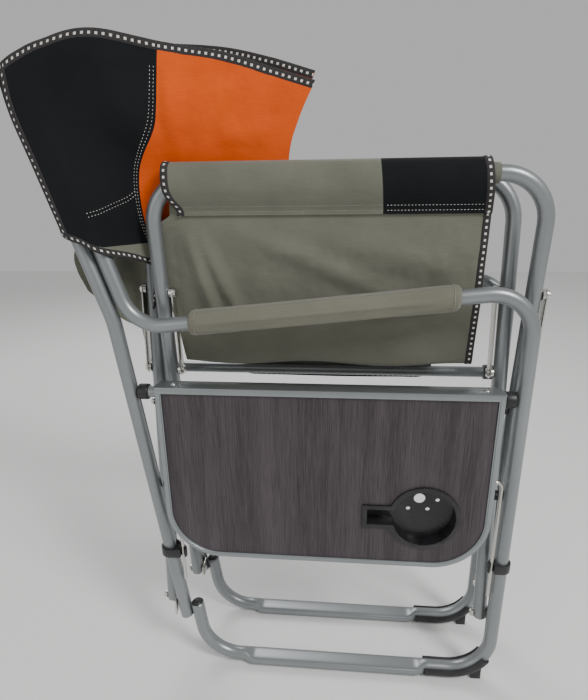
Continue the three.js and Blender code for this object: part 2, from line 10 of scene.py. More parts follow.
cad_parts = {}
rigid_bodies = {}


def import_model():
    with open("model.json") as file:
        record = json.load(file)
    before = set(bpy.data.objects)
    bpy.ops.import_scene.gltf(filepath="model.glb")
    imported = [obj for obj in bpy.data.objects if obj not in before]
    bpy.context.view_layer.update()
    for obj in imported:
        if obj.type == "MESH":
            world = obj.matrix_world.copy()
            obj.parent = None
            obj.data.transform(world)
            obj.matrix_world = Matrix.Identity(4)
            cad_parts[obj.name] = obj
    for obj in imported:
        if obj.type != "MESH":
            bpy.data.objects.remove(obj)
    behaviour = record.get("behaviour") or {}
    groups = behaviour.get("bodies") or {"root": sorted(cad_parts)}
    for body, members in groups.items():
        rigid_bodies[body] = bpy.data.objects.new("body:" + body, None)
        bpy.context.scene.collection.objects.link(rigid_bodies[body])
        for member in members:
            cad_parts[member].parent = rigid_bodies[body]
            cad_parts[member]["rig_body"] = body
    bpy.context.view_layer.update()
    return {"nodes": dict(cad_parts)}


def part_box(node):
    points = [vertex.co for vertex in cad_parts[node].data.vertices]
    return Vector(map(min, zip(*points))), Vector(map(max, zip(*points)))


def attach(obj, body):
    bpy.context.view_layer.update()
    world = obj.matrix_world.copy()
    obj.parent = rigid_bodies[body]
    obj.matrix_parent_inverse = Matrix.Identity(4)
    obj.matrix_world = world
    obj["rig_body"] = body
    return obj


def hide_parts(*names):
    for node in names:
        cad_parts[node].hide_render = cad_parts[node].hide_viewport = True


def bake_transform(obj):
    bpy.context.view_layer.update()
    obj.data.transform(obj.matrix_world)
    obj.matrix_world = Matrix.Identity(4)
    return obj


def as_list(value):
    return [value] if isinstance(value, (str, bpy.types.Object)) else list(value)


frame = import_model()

# ---- sizes, in millimetres from the near side frame's plane, +Z up from the floor ----
MM = 0.001
TUBE = 10.0
POST_Y = -255.0
FAR_X = 104.0
RUNNER_Z = 12.1
LEG_FOOT = (224.0, 88.0)
LEG_SLOPE = 0.127
KINK_Z = 577.0
BACK_SLOPE = 0.3054
POST_TOP = 868.0
LOOP_END, LOOP_GAP = 112.0, 20.9
RISER_TOP, RISER_AHEAD = 770.0, 24.0
ARM_Z, ARM_SLOPE = 622.0, 0.105
PIVOT_Z = 105.0
PIVOT_INSET = 21.0
LEG_LENGTH = 656.0
FOLDED_TILT = math.asin((FAR_X - 2 * PIVOT_INSET) / 672)
NEAR_LEGS = (-263.5, 229.0)
FAR_LEGS = (-240.5, 252.0)
HINGE_Z = 477.0
TABLE_TOP = HINGE_Z + 18
TABLE_FOOT = HINGE_Z - 250
TABLE_FRONT, TABLE_REAR = -225.0, 230.0
TABLE_OUT, TABLE_IN = -28.5, -12.5
TABLE_CORNER = 78.0
EDGING = 9.0
CUP_Y, CUP_Z, CUP_R = -134.5, HINGE_Z - 168, 43.0
SLOT_HALF, SLOT_REACH, SLOT_CORNER = 12, 78, 4
CLOTH = 1.3

near_lo, near_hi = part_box("near_loop_tube")
ORIGIN = Vector(((near_lo.x + near_hi.x) / 2, near_lo.y + (TUBE - POST_Y) * MM, 0))


def at(x, y, z):
    """A point of the drawing as a point of the row frame, in metres."""
    return ORIGIN + Vector((x, y, z)) * MM


def leg_y(z):
    return LEG_FOOT[0] + LEG_SLOPE * (z - LEG_FOOT[1])


KINK_Y = leg_y(KINK_Z)


def back_y(z):
    return KINK_Y + BACK_SLOPE * (z - KINK_Z)


def arm_z(y):
    return ARM_Z - ARM_SLOPE * (y - POST_Y)


def drawn_y(place):
    """The drawing's Y, in millimetres, of a place in the row frame."""
    return (place.y - ORIGIN.y) / MM


def seat_leg(foot_x, lean, along):
    """X and Z of a place on a seat leg, `along` from its bottom pivot."""
    x = foot_x + lean * along * math.sin(FOLDED_TILT)
    return x, PIVOT_Z + along * math.cos(FOLDED_TILT)


# ---- node helpers for materials ----
def set_all(owner, **settings):
    for key, value in settings.items():
        setattr(owner, key, value)


class Nodes:
    """Builds one material's node tree."""

    def __init__(self, name):
        self.material = bpy.data.materials.new(name)
        self.material.use_nodes = True
        self.tree = self.material.node_tree
        self.shader = self.tree.nodes["Principled BSDF"]

    def add(self, kind, inputs=None, **settings):
        node = self.tree.nodes.new(kind)
        set_all(node, **settings)
        for key, value in (inputs or {}).items():
            self.put(node.inputs[key], value)
        return node

    def put(self, socket, value):
        if isinstance(value, bpy.types.NodeSocket):
            self.tree.links.new(value, socket)
        else:
            socket.default_value = value

    def math(self, operation, *values):
        node = self.add("ShaderNodeMath", operation=operation)
        for socket, value in zip(node.inputs, values):
            self.put(socket, value)
        return node.outputs[0]

    def coordinates(self, kind="Object", scale=(1, 1, 1), turn=(0, 0, 0)):
        source = self.add("ShaderNodeTexCoord").outputs[kind]
        node = self.add("ShaderNodeMapping", {"Vector": source, "Scale": scale, "Rotation": turn})
        return node.outputs[0]

    def noise(self, vector, scale, detail=3.0, roughness=0.5):
        inputs = {"Vector": vector, "Scale": scale, "Detail": detail, "Roughness": roughness}
        return self.add("ShaderNodeTexNoise", inputs).outputs["Fac"]

    def ramp(self, factor, *stops):
        node = self.add("ShaderNodeValToRGB", {"Fac": factor})
        elements = node.color_ramp.elements
        while len(elements) < len(stops):
            elements.new(0.5)
        for element, (place, colour) in zip(elements, stops):
            element.position = place
            element.color = colour if len(colour) == 4 else (*colour, 1)
        return node.outputs["Color"]

    def spread(self, factor, low, high):
        node = self.add("ShaderNodeMapRange", {"Value": factor, "To Min": low, "To Max": high})
        return node.outputs[0]

    def mix(self, factor, low, high):
        """A socket's colour turning into the colour `high` as `factor` goes from 0 to 1."""
        node = self.add("ShaderNodeMix", {"Factor": factor}, data_type="RGBA")
        self.put(node.inputs["A"], low)
        self.put(node.inputs["B"], (*high, 1))
        return node.outputs["Result"]

    def bump(self, height, strength, distance, below=None):
        node = self.add("ShaderNodeBump", {"Height": height, "Strength": strength, "Distance": distance})
        if below is not None:
            self.put(node.inputs["Normal"], below)
        return node.outputs[0]

    def finish(self, **inputs):
        for key, value in inputs.items():
            self.put(self.shader.inputs[key.replace("_", " ")], value)
        return self.material


def metal(name, dark, light, roughness, metallic, grain_scale, bump):
    """A coated or plated metal with fine orange peel and soft blotches."""
    m = Nodes(name)
    place = m.coordinates()
    blotch = m.noise(place, 9, 4)
    grain = m.noise(place, grain_scale, 3, 0.6)
    colour = m.ramp(m.spread(blotch, 0.1, 0.9), (0.25, dark), (0.8, light))
    normal = m.bump(grain, bump, 0.0002)
    return m.finish(
        Base_Color=colour, Roughness=m.spread(grain, roughness - 0.06, roughness + 0.08),
        Metallic=metallic, Normal=normal,
    )


def brushed(name, colour, stretch):
    """Drawn aluminium: fine lines along the profile."""
    m = Nodes(name)
    lines = m.noise(m.coordinates(scale=stretch), 60, 4, 0.7)
    blotch = m.noise(m.coordinates(), 14, 3)
    shade = m.ramp(m.math("MULTIPLY_ADD", blotch, 0.4, m.math("MULTIPLY", lines, 0.6)),
                   (0.3, [0.8 * c for c in colour]), (0.7, colour))
    return m.finish(
        Base_Color=shade, Metallic=0.85, Roughness=m.spread(lines, 0.26, 0.44),
        Normal=m.bump(lines, 0.12, 0.0002),
    )


def plastic(name, colour, roughness, grain=900):
    """Moulded plastic with a fine spark texture and slight scuffing."""
    m = Nodes(name)
    place = m.coordinates()
    spark = m.noise(place, grain, 2, 0.6)
    scuff = m.noise(place, 35, 5, 0.65)
    shade = m.ramp(scuff, (0.35, colour), (0.8, [2.2 * c + 0.006 for c in colour]))
    return m.finish(
        Base_Color=shade, Roughness=m.spread(scuff, roughness - 0.08, roughness + 0.14),
        Normal=m.bump(spark, 0.12, 0.0002),
    )


def laminate(name):
    """Dark wood-look laminate: long upright streaks, pores and slow bands."""
    m = Nodes(name)
    wander = m.noise(m.coordinates(scale=(1, 9, 1.1)), 3, 2)
    bent = m.add("ShaderNodeVectorMath", operation="MULTIPLY_ADD")
    m.put(bent.inputs[0], m.add("ShaderNodeCombineXYZ", {"Y": wander}).outputs[0])
    m.put(bent.inputs[1], (0, 0.012, 0))
    m.put(bent.inputs[2], m.coordinates())

    def figure(across, along, scale, detail, roughness=0.5):
        inputs = {"Vector": bent.outputs[0], "Scale": (1, across, along)}
        return m.noise(m.add("ShaderNodeMapping", inputs).outputs[0], scale, detail, roughness)

    streaks = figure(240, 3.4, 5.5, 6, 0.68)
    pores = figure(300, 9, 4, 3, 0.7)
    bands = figure(14, 0.7, 3, 2)
    tone = m.math("MULTIPLY_ADD", pores, 0.25, m.math("MULTIPLY", streaks, 0.5))
    tone = m.math("MULTIPLY_ADD", bands, 0.24, tone)
    dark, middle, light = (0.013, 0.009, 0.011), (0.034, 0.026, 0.030), (0.072, 0.058, 0.065)
    colour = m.ramp(tone, (0.36, dark), (0.46, middle), (0.58, light))
    return m.finish(
        Base_Color=colour, Roughness=m.spread(pores, 0.42, 0.6),
        Normal=m.bump(pores, 0.18, 0.0003),
    )


def weave(m, place, threads):
    """Height of a plain weave with `threads` threads to the metre, from UV in metres."""
    parts = m.add("ShaderNodeSeparateXYZ", {"Vector": place})
    turns = [m.math("MULTIPLY", parts.outputs[i], threads * math.pi) for i in (0, 1)]
    warp, weft = (m.math("ABSOLUTE", m.math("SINE", turn)) for turn in turns)
    cells = m.math("MULTIPLY", m.math("SINE", turns[0]), m.math("SINE", turns[1]))
    over = m.math("GREATER_THAN", cells, 0.0)
    upper = m.math("MULTIPLY", warp, over)
    lower = m.math("MULTIPLY", weft, m.math("SUBTRACT", 1.0, over))
    return m.math("ADD", upper, lower)


def cloth(name, dark, light, threads=1500, roughness=0.86, sheen=0.25):
    """Coated polyester cloth: a tight weave, slubs along the threads, slow colour drift, and painted shade in
    the weave's hollows.
    """
    m = Nodes(name)
    place = m.coordinates("UV")
    body = m.coordinates()
    height = weave(m, place, threads)
    slubs = m.noise(m.coordinates("UV", scale=(40, 900, 1)), 1.2, 3, 0.6)
    drift = m.noise(body, 11, 4, 0.55)
    crease = m.noise(body, 60, 4, 0.6)
    mix = m.math("MULTIPLY_ADD", drift, 0.6, m.math("MULTIPLY", slubs, 0.4))
    base = m.ramp(mix, (0.3, dark), (0.72, light))
    # Painted shade: the colour darkens towards a dim copy of the dark tone in the low parts of the weave,
    # between the threads.
    depth = m.math("MULTIPLY", m.math("SUBTRACT", 1.0, height), 0.3)
    shade = m.mix(depth, base, [0.45 * c for c in dark])
    normal = m.bump(crease, 0.35, 0.002)
    normal = m.bump(height, 0.3, 0.0002, normal)
    return m.finish(
        Base_Color=shade, Roughness=roughness, Sheen_Weight=sheen,
        Sheen_Roughness=0.5, Specular_IOR_Level=0.22, Normal=normal,
    )


def binding_tape(name):
    """Ribbed dark tape with a row of pale woven dashes. U runs along it and V across it, in metres."""
    m = Nodes(name)
    parts = m.add("ShaderNodeSeparateXYZ", {"Vector": m.coordinates("UV")})
    along, across = parts.outputs[0], parts.outputs[1]
    phase = m.math("FRACT", m.math("MULTIPLY", along, 1 / 0.0078))
    on = m.math("LESS_THAN", phase, 0.38)
    middle = m.math("LESS_THAN", m.math("ABSOLUTE", across), 0.0014)
    dash = m.math("MULTIPLY", on, middle)
    rib = m.math("SINE", m.math("MULTIPLY", along, 2 * math.pi / 0.0013))
    fuzz = m.noise(m.coordinates(), 700, 2)
    dark = m.ramp(fuzz, (0.3, (0.016, 0.014, 0.014)), (0.75, (0.045, 0.04, 0.04)))
    colour = m.mix(dash, dark, (0.66, 0.65, 0.60))
    height = m.math("MULTIPLY_ADD", dash, 1.2, m.math("MULTIPLY", rib, 0.35))
    return m.finish(Base_Color=colour, Roughness=0.9, Normal=m.bump(height, 0.5, 0.0004))


paint = metal("grey_coat", (0.235, 0.25, 0.255), (0.30, 0.315, 0.32), 0.34, 0.6, 1400, 0.05)
zinc = metal("zinc_plate", (0.50, 0.49, 0.45), (0.74, 0.73, 0.69), 0.28, 1.0, 500, 0.08)
drawn = brushed("drawn_aluminium", (0.33, 0.355, 0.365), (1, 0.15, 40))
black = plastic("black_moulding", (0.010, 0.010, 0.011), 0.42)
gloss_black = plastic("cup_moulding", (0.008, 0.008, 0.009), 0.26, 400)
board = laminate("dark_laminate")
olive = cloth("olive_polyester", (0.125, 0.128, 0.098), (0.185, 0.188, 0.148))
pad_cloth = cloth("arm_polyester", (0.150, 0.148, 0.112), (0.205, 0.200, 0.155))
dark_cloth = cloth("black_polyester", (0.0035, 0.0045, 0.006), (0.009, 0.011, 0.013), sheen=0.02)
orange = cloth("orange_polyester", (0.62, 0.070, 0.004), (0.88, 0.125, 0.006), sheen=0.0)
tape = binding_tape("binding_tape")
thread = plastic("pale_thread", (0.40, 0.40, 0.36), 0.8)
olive_thread = plastic("olive_thread", (0.20, 0.205, 0.16), 0.85)
floor_paint = Nodes("pale_floor").finish(Base_Color=(0.80, 0.80, 0.79, 1), Roughness=0.8)


# ---- mesh helpers ----
def new_piece(name, mesh, materials):
    piece = bpy.data.objects.new(name, mesh)
    bpy.context.scene.collection.objects.link(piece)
    for material in materials:
        mesh.materials.append(material)
    return piece


def new_mesh(name, shape):
    """A finished bmesh as a new mesh."""
    mesh = bpy.data.meshes.new(name)
    shape.to_mesh(mesh)
    shape.free()
    return mesh


def capped(mesh):
    """Fills a mesh's open ends and turns its faces outward."""
    shape = bmesh.new()
    shape.from_mesh(mesh)
    bmesh.ops.holes_fill(shape, edges=[e for e in shape.edges if e.is_boundary], sides=0)
    bmesh.ops.recalc_face_normals(shape, faces=shape.faces)
    shape.to_mesh(mesh)
    shape.free()
    return mesh


def shaded(mesh, sharp):
    """Smooth shading, with edges of more than `sharp` degrees kept sharp."""
    mesh.shade_smooth()
    mesh.set_sharp_from_angle(angle=math.radians(sharp))


def squared(value, power):
    """A power that keeps the sign. A circle's sine and cosine with powers under 1 give a squarer ring."""
    return math.copysign(abs(value) ** power, value)


def baked(piece, sharp=40):
    """Applies every modifier, and shades the mesh smooth up to the `sharp` angle in degrees."""
    bpy.context.view_layer.update()
    graph = bpy.context.evaluated_depsgraph_get()
    mesh = bpy.data.meshes.new_from_object(piece.evaluated_get(graph), depsgraph=graph)
    piece.modifiers.clear()
    piece.data = mesh
    shaded(mesh, sharp)
    return piece


def on(piece, body, slot, *nodes):
    """Rides a piece on a body, and hides the CAD nodes that it stands for. `slot` is not used."""
    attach(piece, body)
    if nodes:
        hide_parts(*nodes)
    return piece


def grid_mesh(name, rows, closed_u=False, closed_v=False, uv=None):
    """A quad mesh from rows of points. UV is in metres along the rows and across them."""
    points = np.asarray(rows, float)
    n, m = points.shape[:2]
    mesh = bpy.data.meshes.new(name)
    faces = []
    corners = []
    for i in range(n if closed_u else n - 1):
        for j in range(m if closed_v else m - 1):
            a, b = (i, j), (i, j + 1)
            c, d = (i + 1, j + 1), (i + 1, j)
            faces.append([(p % n) * m + (q % m) for p, q in (a, b, c, d)])
            corners.extend([a, b, c, d])
    mesh.from_pydata(points.reshape(-1, 3).tolist(), [], faces)
    if uv is None:
        step_v = np.linalg.norm(np.diff(points[n // 2], axis=0), axis=1)
        step_u = np.linalg.norm(np.diff(points[:, m // 2], axis=0), axis=1)
        across = np.concatenate([[0], np.cumsum(step_v), [step_v.sum() + step_v.mean()]])
        along = np.concatenate([[0], np.cumsum(step_u), [step_u.sum() + step_u.mean()]])
        uv = lambda i, j: (along[i], across[j])
    layer = mesh.uv_layers.new(name="UVMap")
    layer.data.foreach_set("uv", np.array([uv(i, j) for i, j in corners], np.float32).ravel())
    return mesh


def bent_path(corners, bends, step=12.0, turn_step=8.0):
    """Points and tangents along straights joined by round bends, in drawing millimetres."""
    corners = [Vector(c) for c in corners]
    stations = []

    def straight(start, end):
        count = max(1, round((end - start).length / step))
        along = (end - start).normalized()
        for k in range(count + 1):
            stations.append((start.lerp(end, k / count), along))

    start = corners[0]
    for before, corner, after, radius in zip(corners, corners[1:], corners[2:], bends):
        inward, outward = (corner - before).normalized(), (after - corner).normalized()
        turn = inward.angle(outward)
        axis = inward.cross(outward).normalized()
        bend_start = corner - inward * radius * math.tan(turn / 2)
        straight(start, bend_start)
        arm = inward.cross(axis) * radius
        centre = bend_start - arm
        count = max(2, round(math.degrees(turn) / turn_step))
        for k in range(1, count):
            rotation = Matrix.Rotation(turn * k / count, 3, axis)
            stations.append((centre + rotation @ arm, rotation @ inward))
        start = corner + outward * radius * math.tan(turn / 2)
    straight(start, corners[-1])
    return stations


def swept(name, stations, normal, section, sides=28):
    """A closed tube. `section(point)` gives half width along `normal`, half height, power and shift up."""
    normal = Vector(normal).normalized()
    rows = []
    for point, along in stations:
        across = along.cross(normal).normalized()
        width, height, power, shift = section(point)
        ring = []
        for k in range(sides):
            angle = 2 * math.pi * k / sides
            c, s = math.cos(angle), math.sin(angle)
            p = point + normal * (squared(c, power) * width) + across * (squared(s, power) * height)
            ring.append(at(*(p + Vector((0, 0, shift)))))
        rows.append(ring)
    return capped(grid_mesh(name, rows, closed_v=True))


def round_section(radius):
    return lambda point: (radius, radius, 1.0, 0.0)


def tube(name, corners, bends, radius, normal, material, section=None, sides=28):
    mesh = swept(name, bent_path(corners, bends), normal, section or round_section(radius), sides)
    shaded(mesh, 50)
    return new_piece(name, mesh, [material])


def ease(value):
    value = min(max(value, 0.0), 1.0)
    return value * value * (3 - 2 * value)


# ---- side frames ----
FLAT_FRONT, FLAT_REAR, FLAT_RUN = -158.0, 132.0, 13.0
FLAT_WIDTH, FLAT_HEIGHT = 13.7, 6.5
LOOP_BENDS, FRONT_BEND = [62, 62, 52, 52], 62


def runner_section(point):
    """The tube is round, and pressed flat between two stamped ends where it runs along the floor."""
    if point.z > RUNNER_Z + 1:
        return TUBE, TUBE, 1.0, 0.0
    inside = min(point.y - FLAT_FRONT, FLAT_REAR - point.y)
    flat = ease(inside / FLAT_RUN)
    width = TUBE + flat * (FLAT_WIDTH - TUBE)
    height = TUBE + flat * (FLAT_HEIGHT - TUBE)
    return width, height, 1 - 0.45 * flat, (FLAT_HEIGHT - TUBE) * flat


def arm_rear_corner():
    """Where the arm's line meets the line of the riser ahead of the back post."""
    riser = back_y(0) - RISER_AHEAD
    y = (riser + BACK_SLOPE * (ARM_Z + ARM_SLOPE * POST_Y)) / (1 + BACK_SLOPE * ARM_SLOPE)
    return y, arm_z(y)


def side_frame(name, x):
    arm_y, arm_top = arm_rear_corner()
    loop = [
        (x, leg_y(LOOP_END) - LOOP_GAP, LOOP_END), (x, leg_y(RUNNER_Z) - LOOP_GAP, RUNNER_Z),
        (x, POST_Y, RUNNER_Z), (x, POST_Y, ARM_Z), (x, arm_y, arm_top),
        (x, back_y(RISER_TOP) - RISER_AHEAD, RISER_TOP),
    ]
    stations = bent_path(loop, LOOP_BENDS, step=6)
    mesh = swept(f"{name}_loop", stations, (1, 0, 0), runner_section, 28)
    piece = new_piece(f"{name}_loop", mesh, [paint])
    mesh.shade_smooth()
    on(piece, f"{name}_frame", "frame_paint", f"{name}_loop_tube")
    post = [(x, *LEG_FOOT), (x, KINK_Y, KINK_Z), (x, back_y(POST_TOP), POST_TOP)]
    piece = tube(f"{name}_post", post, [150], TUBE, (1, 0, 0), paint)
    on(piece, f"{name}_frame", "frame_paint", f"{name}_back_post")
    bar = [(x, drawn_y(end), HINGE_Z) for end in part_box(f"{name}_crossbar")]
    piece = tube(f"{name}_cross_tube", bar, [], 8, (1, 0, 0), paint, sides=24)
    on(piece, f"{name}_frame", "frame_paint", f"{name}_crossbar")


side_frame("near", 0.0)
side_frame("far", FAR_X)


def foot_trough(name, x):
    """The moulded shoe under the front bend: it wraps the tube's underside and both its flanks."""
    sideways = Vector((1, 0, 0))
    start = drawn_y(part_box(f"{name}_foot_sleeve")[1])
    corners = [(x, start, RUNNER_Z), (x, POST_Y, RUNNER_Z), (x, POST_Y, RUNNER_Z + 66)]
    rows = []
    for point, along in bent_path(corners, [FRONT_BEND], step=5, turn_step=4):
        if point.z > RUNNER_Z + 30:
            break
        outside = along.cross(sideways).normalized()
        if outside.z > 0:
            outside = -outside
        ring = []
        for wall, swell, steps in ((12.0, 2.4, range(-10, 11)), (10.4, 0.8, range(10, -11, -1))):
            for k in steps:
                angle = math.radians(11.6 * k)
                radius = wall + swell * math.sin(angle) ** 2
                reach = sideways * radius * math.sin(angle) + outside * radius * math.cos(angle)
                ring.append(at(*(point + reach)))
        rows.append(ring)
    mesh = capped(grid_mesh(f"{name}_foot_shoe", rows, closed_v=True))
    shaded(mesh, 40)
    on(new_piece(f"{name}_foot_shoe", mesh, [black]), f"{name}_frame", "black_plastic")


foot_trough("near", 0.0)
foot_trough("far", FAR_X)


def seat_frame(name, foot_x, lean, legs):
    tip_x, tip_z = seat_leg(foot_x, lean, -4.8)
    rail_x, rail_z = seat_leg(foot_x, lean, LEG_LENGTH)
    corners = [
        (tip_x, legs[0], tip_z), (rail_x, legs[0], rail_z),
        (rail_x, legs[1], rail_z), (tip_x, legs[1], tip_z),
    ]
    normal = (math.cos(FOLDED_TILT), 0, -lean * math.sin(FOLDED_TILT))
    piece = tube(f"{name}_seat_u", corners, [60, 60], TUBE, normal, paint)
    on(piece, f"{name}_seat_frame", "frame_paint", f"{name}_seat_tube")


seat_frame("far", PIVOT_INSET, 1, FAR_LEGS)
seat_frame("near", FAR_X - PIVOT_INSET, -1, NEAR_LEGS)

STRUT_X, STRUT_Z = TABLE_IN + 6, HINGE_Z - 120
STRUT_FOOT = STRUT_Z - 192.4
STRUT_FRONT, STRUT_REAR = -240, 219
rod = tube("strut_rod", [
    (STRUT_X, STRUT_FRONT, STRUT_FOOT), (STRUT_X, STRUT_FRONT, STRUT_Z),
    (STRUT_X, STRUT_REAR, STRUT_Z), (STRUT_X, STRUT_REAR, STRUT_FOOT),
], [9, 9], 2.5, (1, 0, 0), zinc, sides=14)
on(rod, "table_strut", "bright_zinc", "table_strut")


# ---- fittings: CAD shapes with eased edges ----
def eased(node, material, slot, width=0.5, angle=38):
    """A copy of a CAD node with softened edges, which stands for it."""
    source = frame["nodes"][node]
    solid = bmesh.new()
    solid.from_mesh(source.data)
    bmesh.ops.remove_doubles(solid, verts=solid.verts, dist=1e-5)
    bmesh.ops.dissolve_limit(solid, angle_limit=math.radians(2), verts=solid.verts, edges=solid.edges)
    mesh = new_mesh(f"{node}_shape", solid)
    mesh.materials.clear()
    piece = new_piece(mesh.name, mesh, [material])
    set_all(piece.modifiers.new("ease", "BEVEL"), width=width * MM, segments=2, limit_method="ANGLE",
            angle_limit=math.radians(angle), harden_normals=False)
    baked(piece, 46)
    return on(piece, source["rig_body"], slot, node)


for side in ("near", "far"):
    eased(f"{side}_foot_sleeve", black, "black_plastic", 0.5)
    eased(f"{side}_loop_plug", black, "black_plastic", 0.4)
    for end in ("front", "rear"):
        eased(f"{side}_{end}_socket", black, "black_plastic", 1.2)
        eased(f"{side}_{end}_lug", zinc, "bright_zinc", 0.3)
        eased(f"{side}_{end}_leg_tip", paint, "frame_paint", 0.3)
        eased(f"{side}_{end}_leg_strap", zinc, "bright_zinc", 0.35)
for end in ("front", "rear"):
    eased(f"{end}_strut_rest", black, "black_plastic", 0.9)
    eased(f"{end}_hook_clip", black, "black_plastic", 0.6)
    eased(f"{end}_scissor_washer", black, "black_plastic", 0.3)
    eased(f"{end}_hinge_clamp", black, "black_plastic", 0.5)
    eased(f"{end}_strut_saddle", black, "black_plastic", 0.5)


def turned(name, profile, centre, axis, material, sides=32):
    """A lathed solid. `profile` holds (radius, height) pairs in millimetres along `axis`."""
    axis = Vector(axis).normalized()
    u = axis.orthogonal().normalized()
    v = axis.cross(u)
    turns = [2 * math.pi * k / sides for k in range(sides)]
    spokes = [u * math.cos(turn) + v * math.sin(turn) for turn in turns]
    rows = []
    for radius, height in profile:
        spot = Vector(centre) + axis * height
        rows.append([at(*(spot + spoke * max(radius, 0.01))) for spoke in spokes])
    mesh = grid_mesh(name, rows, closed_v=True)
    shaded(mesh, 35)
    return new_piece(name, mesh, [material])


def bolt(node):
    """A domed bolt head with a collar, a plain shank and a chamfered nut, along Y."""
    lo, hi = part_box(node)
    centre = (lo + hi) / 2 - ORIGIN
    start = drawn_y(lo)
    end = drawn_y(hi) - start
    head = [(0, 0), (2.6, 0.15), (4.7, 1.0), (5.4, 1.7), (5.5, 2.1), (6.4, 2.3), (6.4, 3.0), (2.8, 3.0)]
    shank = [(2.8, 3.0), (2.8, end - 4)]
    nut = [(2.8, end - 4), (5.6, end - 4), (5.6, end - 1.4), (4.6, end - 0.8), (4.3, end), (0, end)]
    place = (centre.x / MM, start, centre.z / MM)
    piece = turned(f"{node}_shape", head + shank + nut, place, (0, 1, 0), zinc)
    on(piece, frame["nodes"][node]["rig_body"], "bright_zinc", node)


for node in ("near_front_pivot", "near_rear_pivot", "far_front_pivot", "far_rear_pivot"):
    bolt(f"{node}_bolt")
for end in ("front", "rear"):
    bolt(f"{end}_scissor_bolt")


# ---- side table ----
def table_outline(inset, arc_steps=16):
    """The table's edge, in (y, z), anticlockwise seen from -X, starting at the front top corner."""
    radius = TABLE_CORNER - inset
    front, rear = TABLE_FRONT + inset, TABLE_REAR - inset
    foot = TABLE_FOOT + inset
    points = [(front, TABLE_TOP - inset)]
    for centre, start in (((front + radius), math.pi), ((rear - radius), 1.5 * math.pi)):
        for k in range(arc_steps + 1):
            angle = start + 0.5 * math.pi * k / arc_steps
            points.append((centre + radius * math.cos(angle), foot + radius + radius * math.sin(angle)))
    points.append((rear, TABLE_TOP - inset))
    return points


def edging_rows():
    """The edge profile, carried round the outline: a rounded outer lip, a groove and an inner rebate."""
    profile = [
        (0.0, 3.0), (0.6, 1.0), (2.2, 0.0), (6.4, 0.0), (6.9, 0.6), (7.3, 0.0), (8.6, 0.2), (9.0, 1.4),
        (9.0, 14.6), (8.6, 15.8), (2.2, 16.0), (0.6, 15.0), (0.0, 13.0), (-0.1, 8.0),
    ]
    rows = []
    for inset, depth in profile:
        outline = table_outline(inset)
        rows.append([at(TABLE_OUT + depth, y, z) for y, z in outline])
    return rows


edging = grid_mesh("edging_profile", edging_rows(), closed_u=True, closed_v=True)
shaded(edging, 30)
on(new_piece("edging_profile", edging, [drawn]), "table", "edging_aluminium", "table_edging")


def cup_outline(grow, steps=48):
    """The cup well with the slot off its rear side, in (y, z)."""
    radius, half = CUP_R + grow, SLOT_HALF + grow
    mouth = math.asin(half / radius)
    end = CUP_Y + SLOT_REACH + grow
    points = []
    for k in range(steps + 1):
        angle = mouth + (2 * math.pi - 2 * mouth) * k / steps
        points.append((CUP_Y + radius * math.cos(angle), CUP_Z + radius * math.sin(angle)))
    for corner_z, start in ((-half, 1.5 * math.pi), (half, 0.0)):
        sign = math.copysign(1, corner_z)
        for k in range(5):
            angle = start + 0.5 * math.pi * k / 4
            z = CUP_Z + corner_z - sign * SLOT_CORNER + SLOT_CORNER * math.sin(angle)
            points.append((end - SLOT_CORNER + SLOT_CORNER * math.cos(angle), z))
    return points


def panel_mesh():
    """The board between its two faces, with the well's opening through it."""
    shape = bmesh.new()
    outer, inner = table_outline(EDGING + 0.3), cup_outline(2.3)
    front, back = TABLE_OUT + 1.5, TABLE_IN - 1.5
    rings = {}
    for key, line, x in (
        ("of", outer, front), ("if", inner, front), ("ob", outer, back), ("ib", inner, back),
    ):
        rings[key] = [shape.verts.new(at(x, y, z)) for y, z in line]
    for a, b in (("of", "ob"), ("if", "ib")):
        count = len(rings[a])
        for k in range(count):
            n = (k + 1) % count
            shape.faces.new((rings[a][k], rings[a][n], rings[b][n], rings[b][k]))
    for a, b in (("of", "if"), ("ob", "ib")):
        edges = []
        for ring in (rings[a], rings[b]):
            for k in range(len(ring)):
                pair = (ring[k], ring[(k + 1) % len(ring)])
                edges.append(shape.edges.get(pair) or shape.edges.new(pair))
        bmesh.ops.triangle_fill(shape, use_beauty=True, edges=edges)
    bmesh.ops.recalc_face_normals(shape, faces=shape.faces)
    return new_mesh("table_board", shape)


on(new_piece("table_board", panel_mesh(), [board]), "table", "table_laminate", "table_panel")
eased("cup_holder", gloss_black, "black_plastic", 0.8, 30)


def hinge_rail():
    """A drawn rail along the table's top edge, with a screw near each end."""
    lip = [
        (0, 0), (0, 7), (0.5, 8.4), (1.8, 9), (26, 9), (27, 8.4), (27, 7.6), (26, 7.2), (7.4, 7.2),
        (6.6, 6.4), (6.6, 1), (5.6, 0),
    ]
    ends = (TABLE_FRONT + 2, TABLE_REAR - 2)
    rows = [[at(TABLE_OUT - 1.6 + x, y, TABLE_TOP - 8.6 + z) for x, z in lip] for y in ends]
    mesh = capped(grid_mesh("table_rail", rows, closed_v=True))
    shaded(mesh, 35)
    on(new_piece("table_rail", mesh, [drawn]), "table", "edging_aluminium")


hinge_rail()
SCREW = [(0, 0.4), (1.1, 0.4), (1.2, 0), (2.4, 0.2), (3.3, 0.9), (3.6, 1.8), (3.6, 2.6)]
for k, y in enumerate((TABLE_FRONT + 22, TABLE_REAR - 24)):
    top = (TABLE_OUT + 11, y, TABLE_TOP + 2.2)
    on(turned(f"rail_screw_{k + 1}", SCREW, top, (0, 0, -1), zinc, 20), "table", "bright_zinc")


# ---- cloth helpers ----
def run_along(points):
    """Distance along a line from its first point to each of its points."""
    return np.concatenate([[0], np.cumsum(np.linalg.norm(np.diff(points, axis=0), axis=1))])


def sampled(line, run, places):
    """Values of a line at distances `places`, where `run` holds the distance at each of its points."""
    return np.stack([np.interp(places, run, line[:, k]) for k in range(line.shape[1])], axis=-1)


